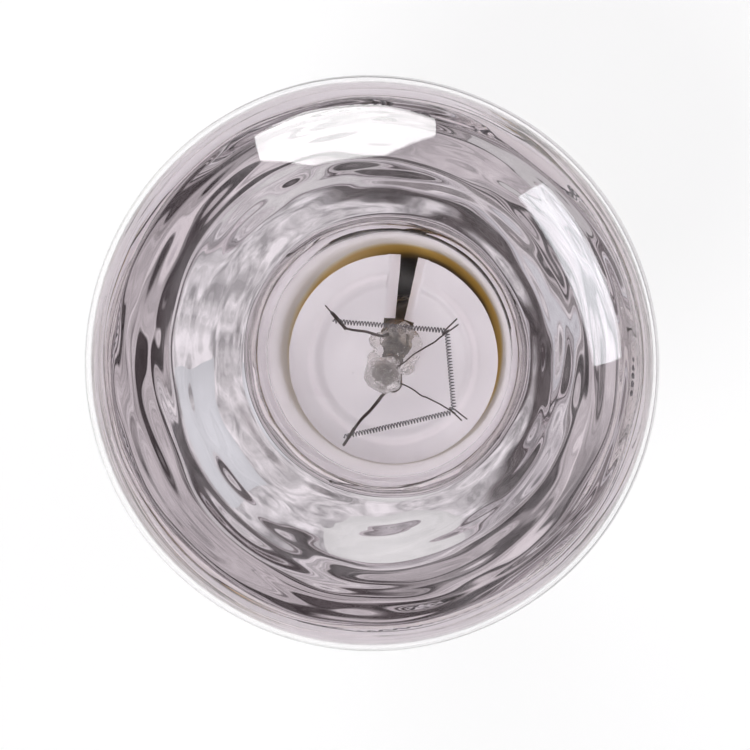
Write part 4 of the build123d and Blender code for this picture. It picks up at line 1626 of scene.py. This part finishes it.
@dataclass
class Studio:
    """Pale floor, soft lights, a plain room and the photograph's camera."""

    rim_height: float
    image_side: float = 750.0
    focal_pixels: float = 2302.0
    rim_pixel: tuple[float, float] = (369.6, 364.5)
    camera_distance: float = 500.0
    camera_tilt: float = 6.65
    camera_azimuth: float = 27.9
    near_clip: float = 0.01
    sensor: float = 36.0
    bounces: int = 24
    glossy_bounces: int = 12
    floor_side: float = 6.0
    floor_colour: Colour = (0.92, 0.92, 0.92)
    floor_white: float = 0.7
    clutter: tuple[float, float, float] = (6.0, 6.0, 14.0)
    clutter_range: tuple[float, float] = (0.35, 0.65)
    clutter_levels: tuple[float, float] = (0.5, 1.35)
    softboxes: tuple[Softbox, ...] = (
        Softbox("softbox_octagon", 100.0, 19.5, 1.2, 0.92, 0.53, 8, 8.0, 9.6),
        Softbox("softbox_side", 24.0, 24.0, 1.2, 1.0, 0.3, 4, 6.0, 7.8, colour=(0.93, 0.95, 1.0)),
        Softbox("softbox_top", 232.0, 62.0, 1.6, 0.7, 0.7, 12, 11.5, 0.7, mirrored=0.7),
    )
    room: tuple[tuple[float, Colour], ...] = (
        (0.0, (0.45, 0.43, 0.45)),
        (0.2, (0.5, 0.478, 0.5)),
        (0.32, (0.72, 0.695, 0.72)),
        (0.55, (0.74, 0.712, 0.735)),
        (0.88, (0.68, 0.645, 0.665)),
        (0.925, (0.62, 0.58, 0.595)),
        (0.95, (0.07, 0.058, 0.062)),
        (0.975, (0.07, 0.058, 0.062)),
        (0.986, (0.64, 0.6, 0.617)),
        (1.0, (0.72, 0.68, 0.7)),
    )
    bands: tuple[Band, ...] = (
        Band(207.0, 74.0, -20.0, 27.0, (0.09, 0.076, 0.08)),
        Band(28.0, 64.0, 42.0, 64.0, (0.22, 0.193, 0.2)),
    )

    def build(self) -> None:
        """Set up the whole studio."""
        self.build_floor()
        self.build_world()
        self.build_camera()
        for box in self.softboxes:
            box.build(Vector((0, 0, self.rim_height * MM)))
        bpy.context.scene.view_settings.view_transform = "Standard"
        cycles = bpy.context.scene.cycles
        cycles.max_bounces = self.bounces
        cycles.glossy_bounces = self.glossy_bounces
        cycles.transmission_bounces = self.bounces
        cycles.transparent_max_bounces = self.bounces

    def build_floor(self) -> None:
        """Lay a white floor that keeps a soft shadow."""
        half = self.floor_side / 2
        mesh = bpy.data.meshes.new("floor")
        corners = [(-half, -half, 0), (half, -half, 0), (half, half, 0), (-half, half, 0)]
        mesh.from_pydata(corners, [], [(0, 1, 2, 3)])
        material = bpy.data.materials.new("floor")
        material.use_nodes = True
        graph = Graph(material.node_tree)
        rays = graph.node("LightPath")
        mirrored = graph.math("MAXIMUM", rays.outputs["Is Glossy Ray"], rays.outputs["Is Transmission Ray"])
        seen = graph.math("MAXIMUM", rays.outputs["Is Camera Ray"], mirrored)
        share = graph.math("MULTIPLY", seen, self.floor_white)
        paper = graph.put(graph.node("BsdfDiffuse"), Color=(*self.floor_colour, 1.0))
        white = graph.put(graph.node("Emission"), Color=(1.0, 1.0, 1.0, 1.0), Strength=1.0)
        surface = graph.mix_shaders(share, paper, white)
        graph.link(surface, graph.node("OutputMaterial").inputs["Surface"])
        mesh.materials.append(material)
        floor = bpy.data.objects.new("floor", mesh)
        bpy.context.scene.collection.objects.link(floor)

    def build_world(self) -> None:
        """Surround the lamp with an uneven room that has dark bands and a dark ring near its zenith."""
        world = bpy.data.worlds.new("room")
        bpy.context.scene.world = world
        world.use_nodes = True
        graph = Graph(world.node_tree)
        place = graph.node("TexCoord")
        height = graph.put(graph.node("SeparateXYZ"), Vector=place.outputs["Generated"])
        colour = graph.ramp(height.outputs["Z"], self.room)
        for band in self.bands:
            colour = band.mix(graph, place.outputs["Generated"], colour)
        flat = graph.vector("MULTIPLY", place.outputs["Generated"], self.clutter)
        patches = graph.put(graph.node("TexNoise"), Vector=flat.outputs[0])
        graph.put(patches, Scale=1.0, Detail=3.0, Roughness=0.6)
        level = graph.put(graph.node("MapRange"), Value=patches.outputs[0])
        graph.put(level, From_Min=self.clutter_range[0], From_Max=self.clutter_range[1])
        graph.put(level, To_Min=self.clutter_levels[0], To_Max=self.clutter_levels[1])
        room = graph.put(graph.node("Background"), Color=colour, Strength=level.outputs[0])
        graph.link(room.outputs[0], graph.node("OutputWorld").inputs["Surface"])

    def build_camera(self) -> None:
        """Stand the camera where the photograph was taken from."""
        tilt, turn = radians(self.camera_tilt), radians(self.camera_azimuth)
        back = Vector((sin(tilt) * cos(turn), sin(tilt) * sin(turn), cos(tilt)))
        right = Vector((0, 1, 0)).cross(back).normalized()
        up = back.cross(right)
        spot = (Vector((0, 0, self.rim_height)) + back * self.camera_distance) * MM
        lens = bpy.data.cameras.new("camera")
        lens.sensor_width = self.sensor
        lens.lens = self.focal_pixels * self.sensor / self.image_side
        lens.shift_x = 0.5 - self.rim_pixel[0] / self.image_side
        lens.shift_y = self.rim_pixel[1] / self.image_side - 0.5
        lens.clip_start = self.near_clip
        camera = bpy.data.objects.new("camera", lens)
        camera.matrix_world = Matrix.Translation(spot) @ Matrix((right, up, back)).transposed().to_4x4()
        bpy.context.scene.collection.objects.link(camera)
        bpy.context.scene.camera = camera


def dress_cad(finishes: dict[str, Finish]) -> None:
    """Give the CAD nodes that still show their own finishes.

    Args:
        finishes: Node names and finishes.
    """
    for name, finish in finishes.items():
        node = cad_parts[name]
        node.data.materials.clear()
        node.data.materials.append(finish.material())
        LOG.info("%s: CAD node in %s", name, finish.name)


def main() -> None:
    """Build the lamp and its studio in order."""
    logging.basicConfig(level=logging.INFO, format="%(name)s: %(message)s")
    bulb = Bulb()
    bulb.build()
    mount = Mount()
    mount.build()
    HeatShield().build(mount.plate)
    ScrewCap().build()
    dress_cad({"seal_wire_1": COPPER, "seal_wire_2": COPPER, "outer_lead_1": COPPER, "outer_lead_2": COPPER})
    Studio(bulb.rim_height).build()


if __name__ == "__main__":
    main()
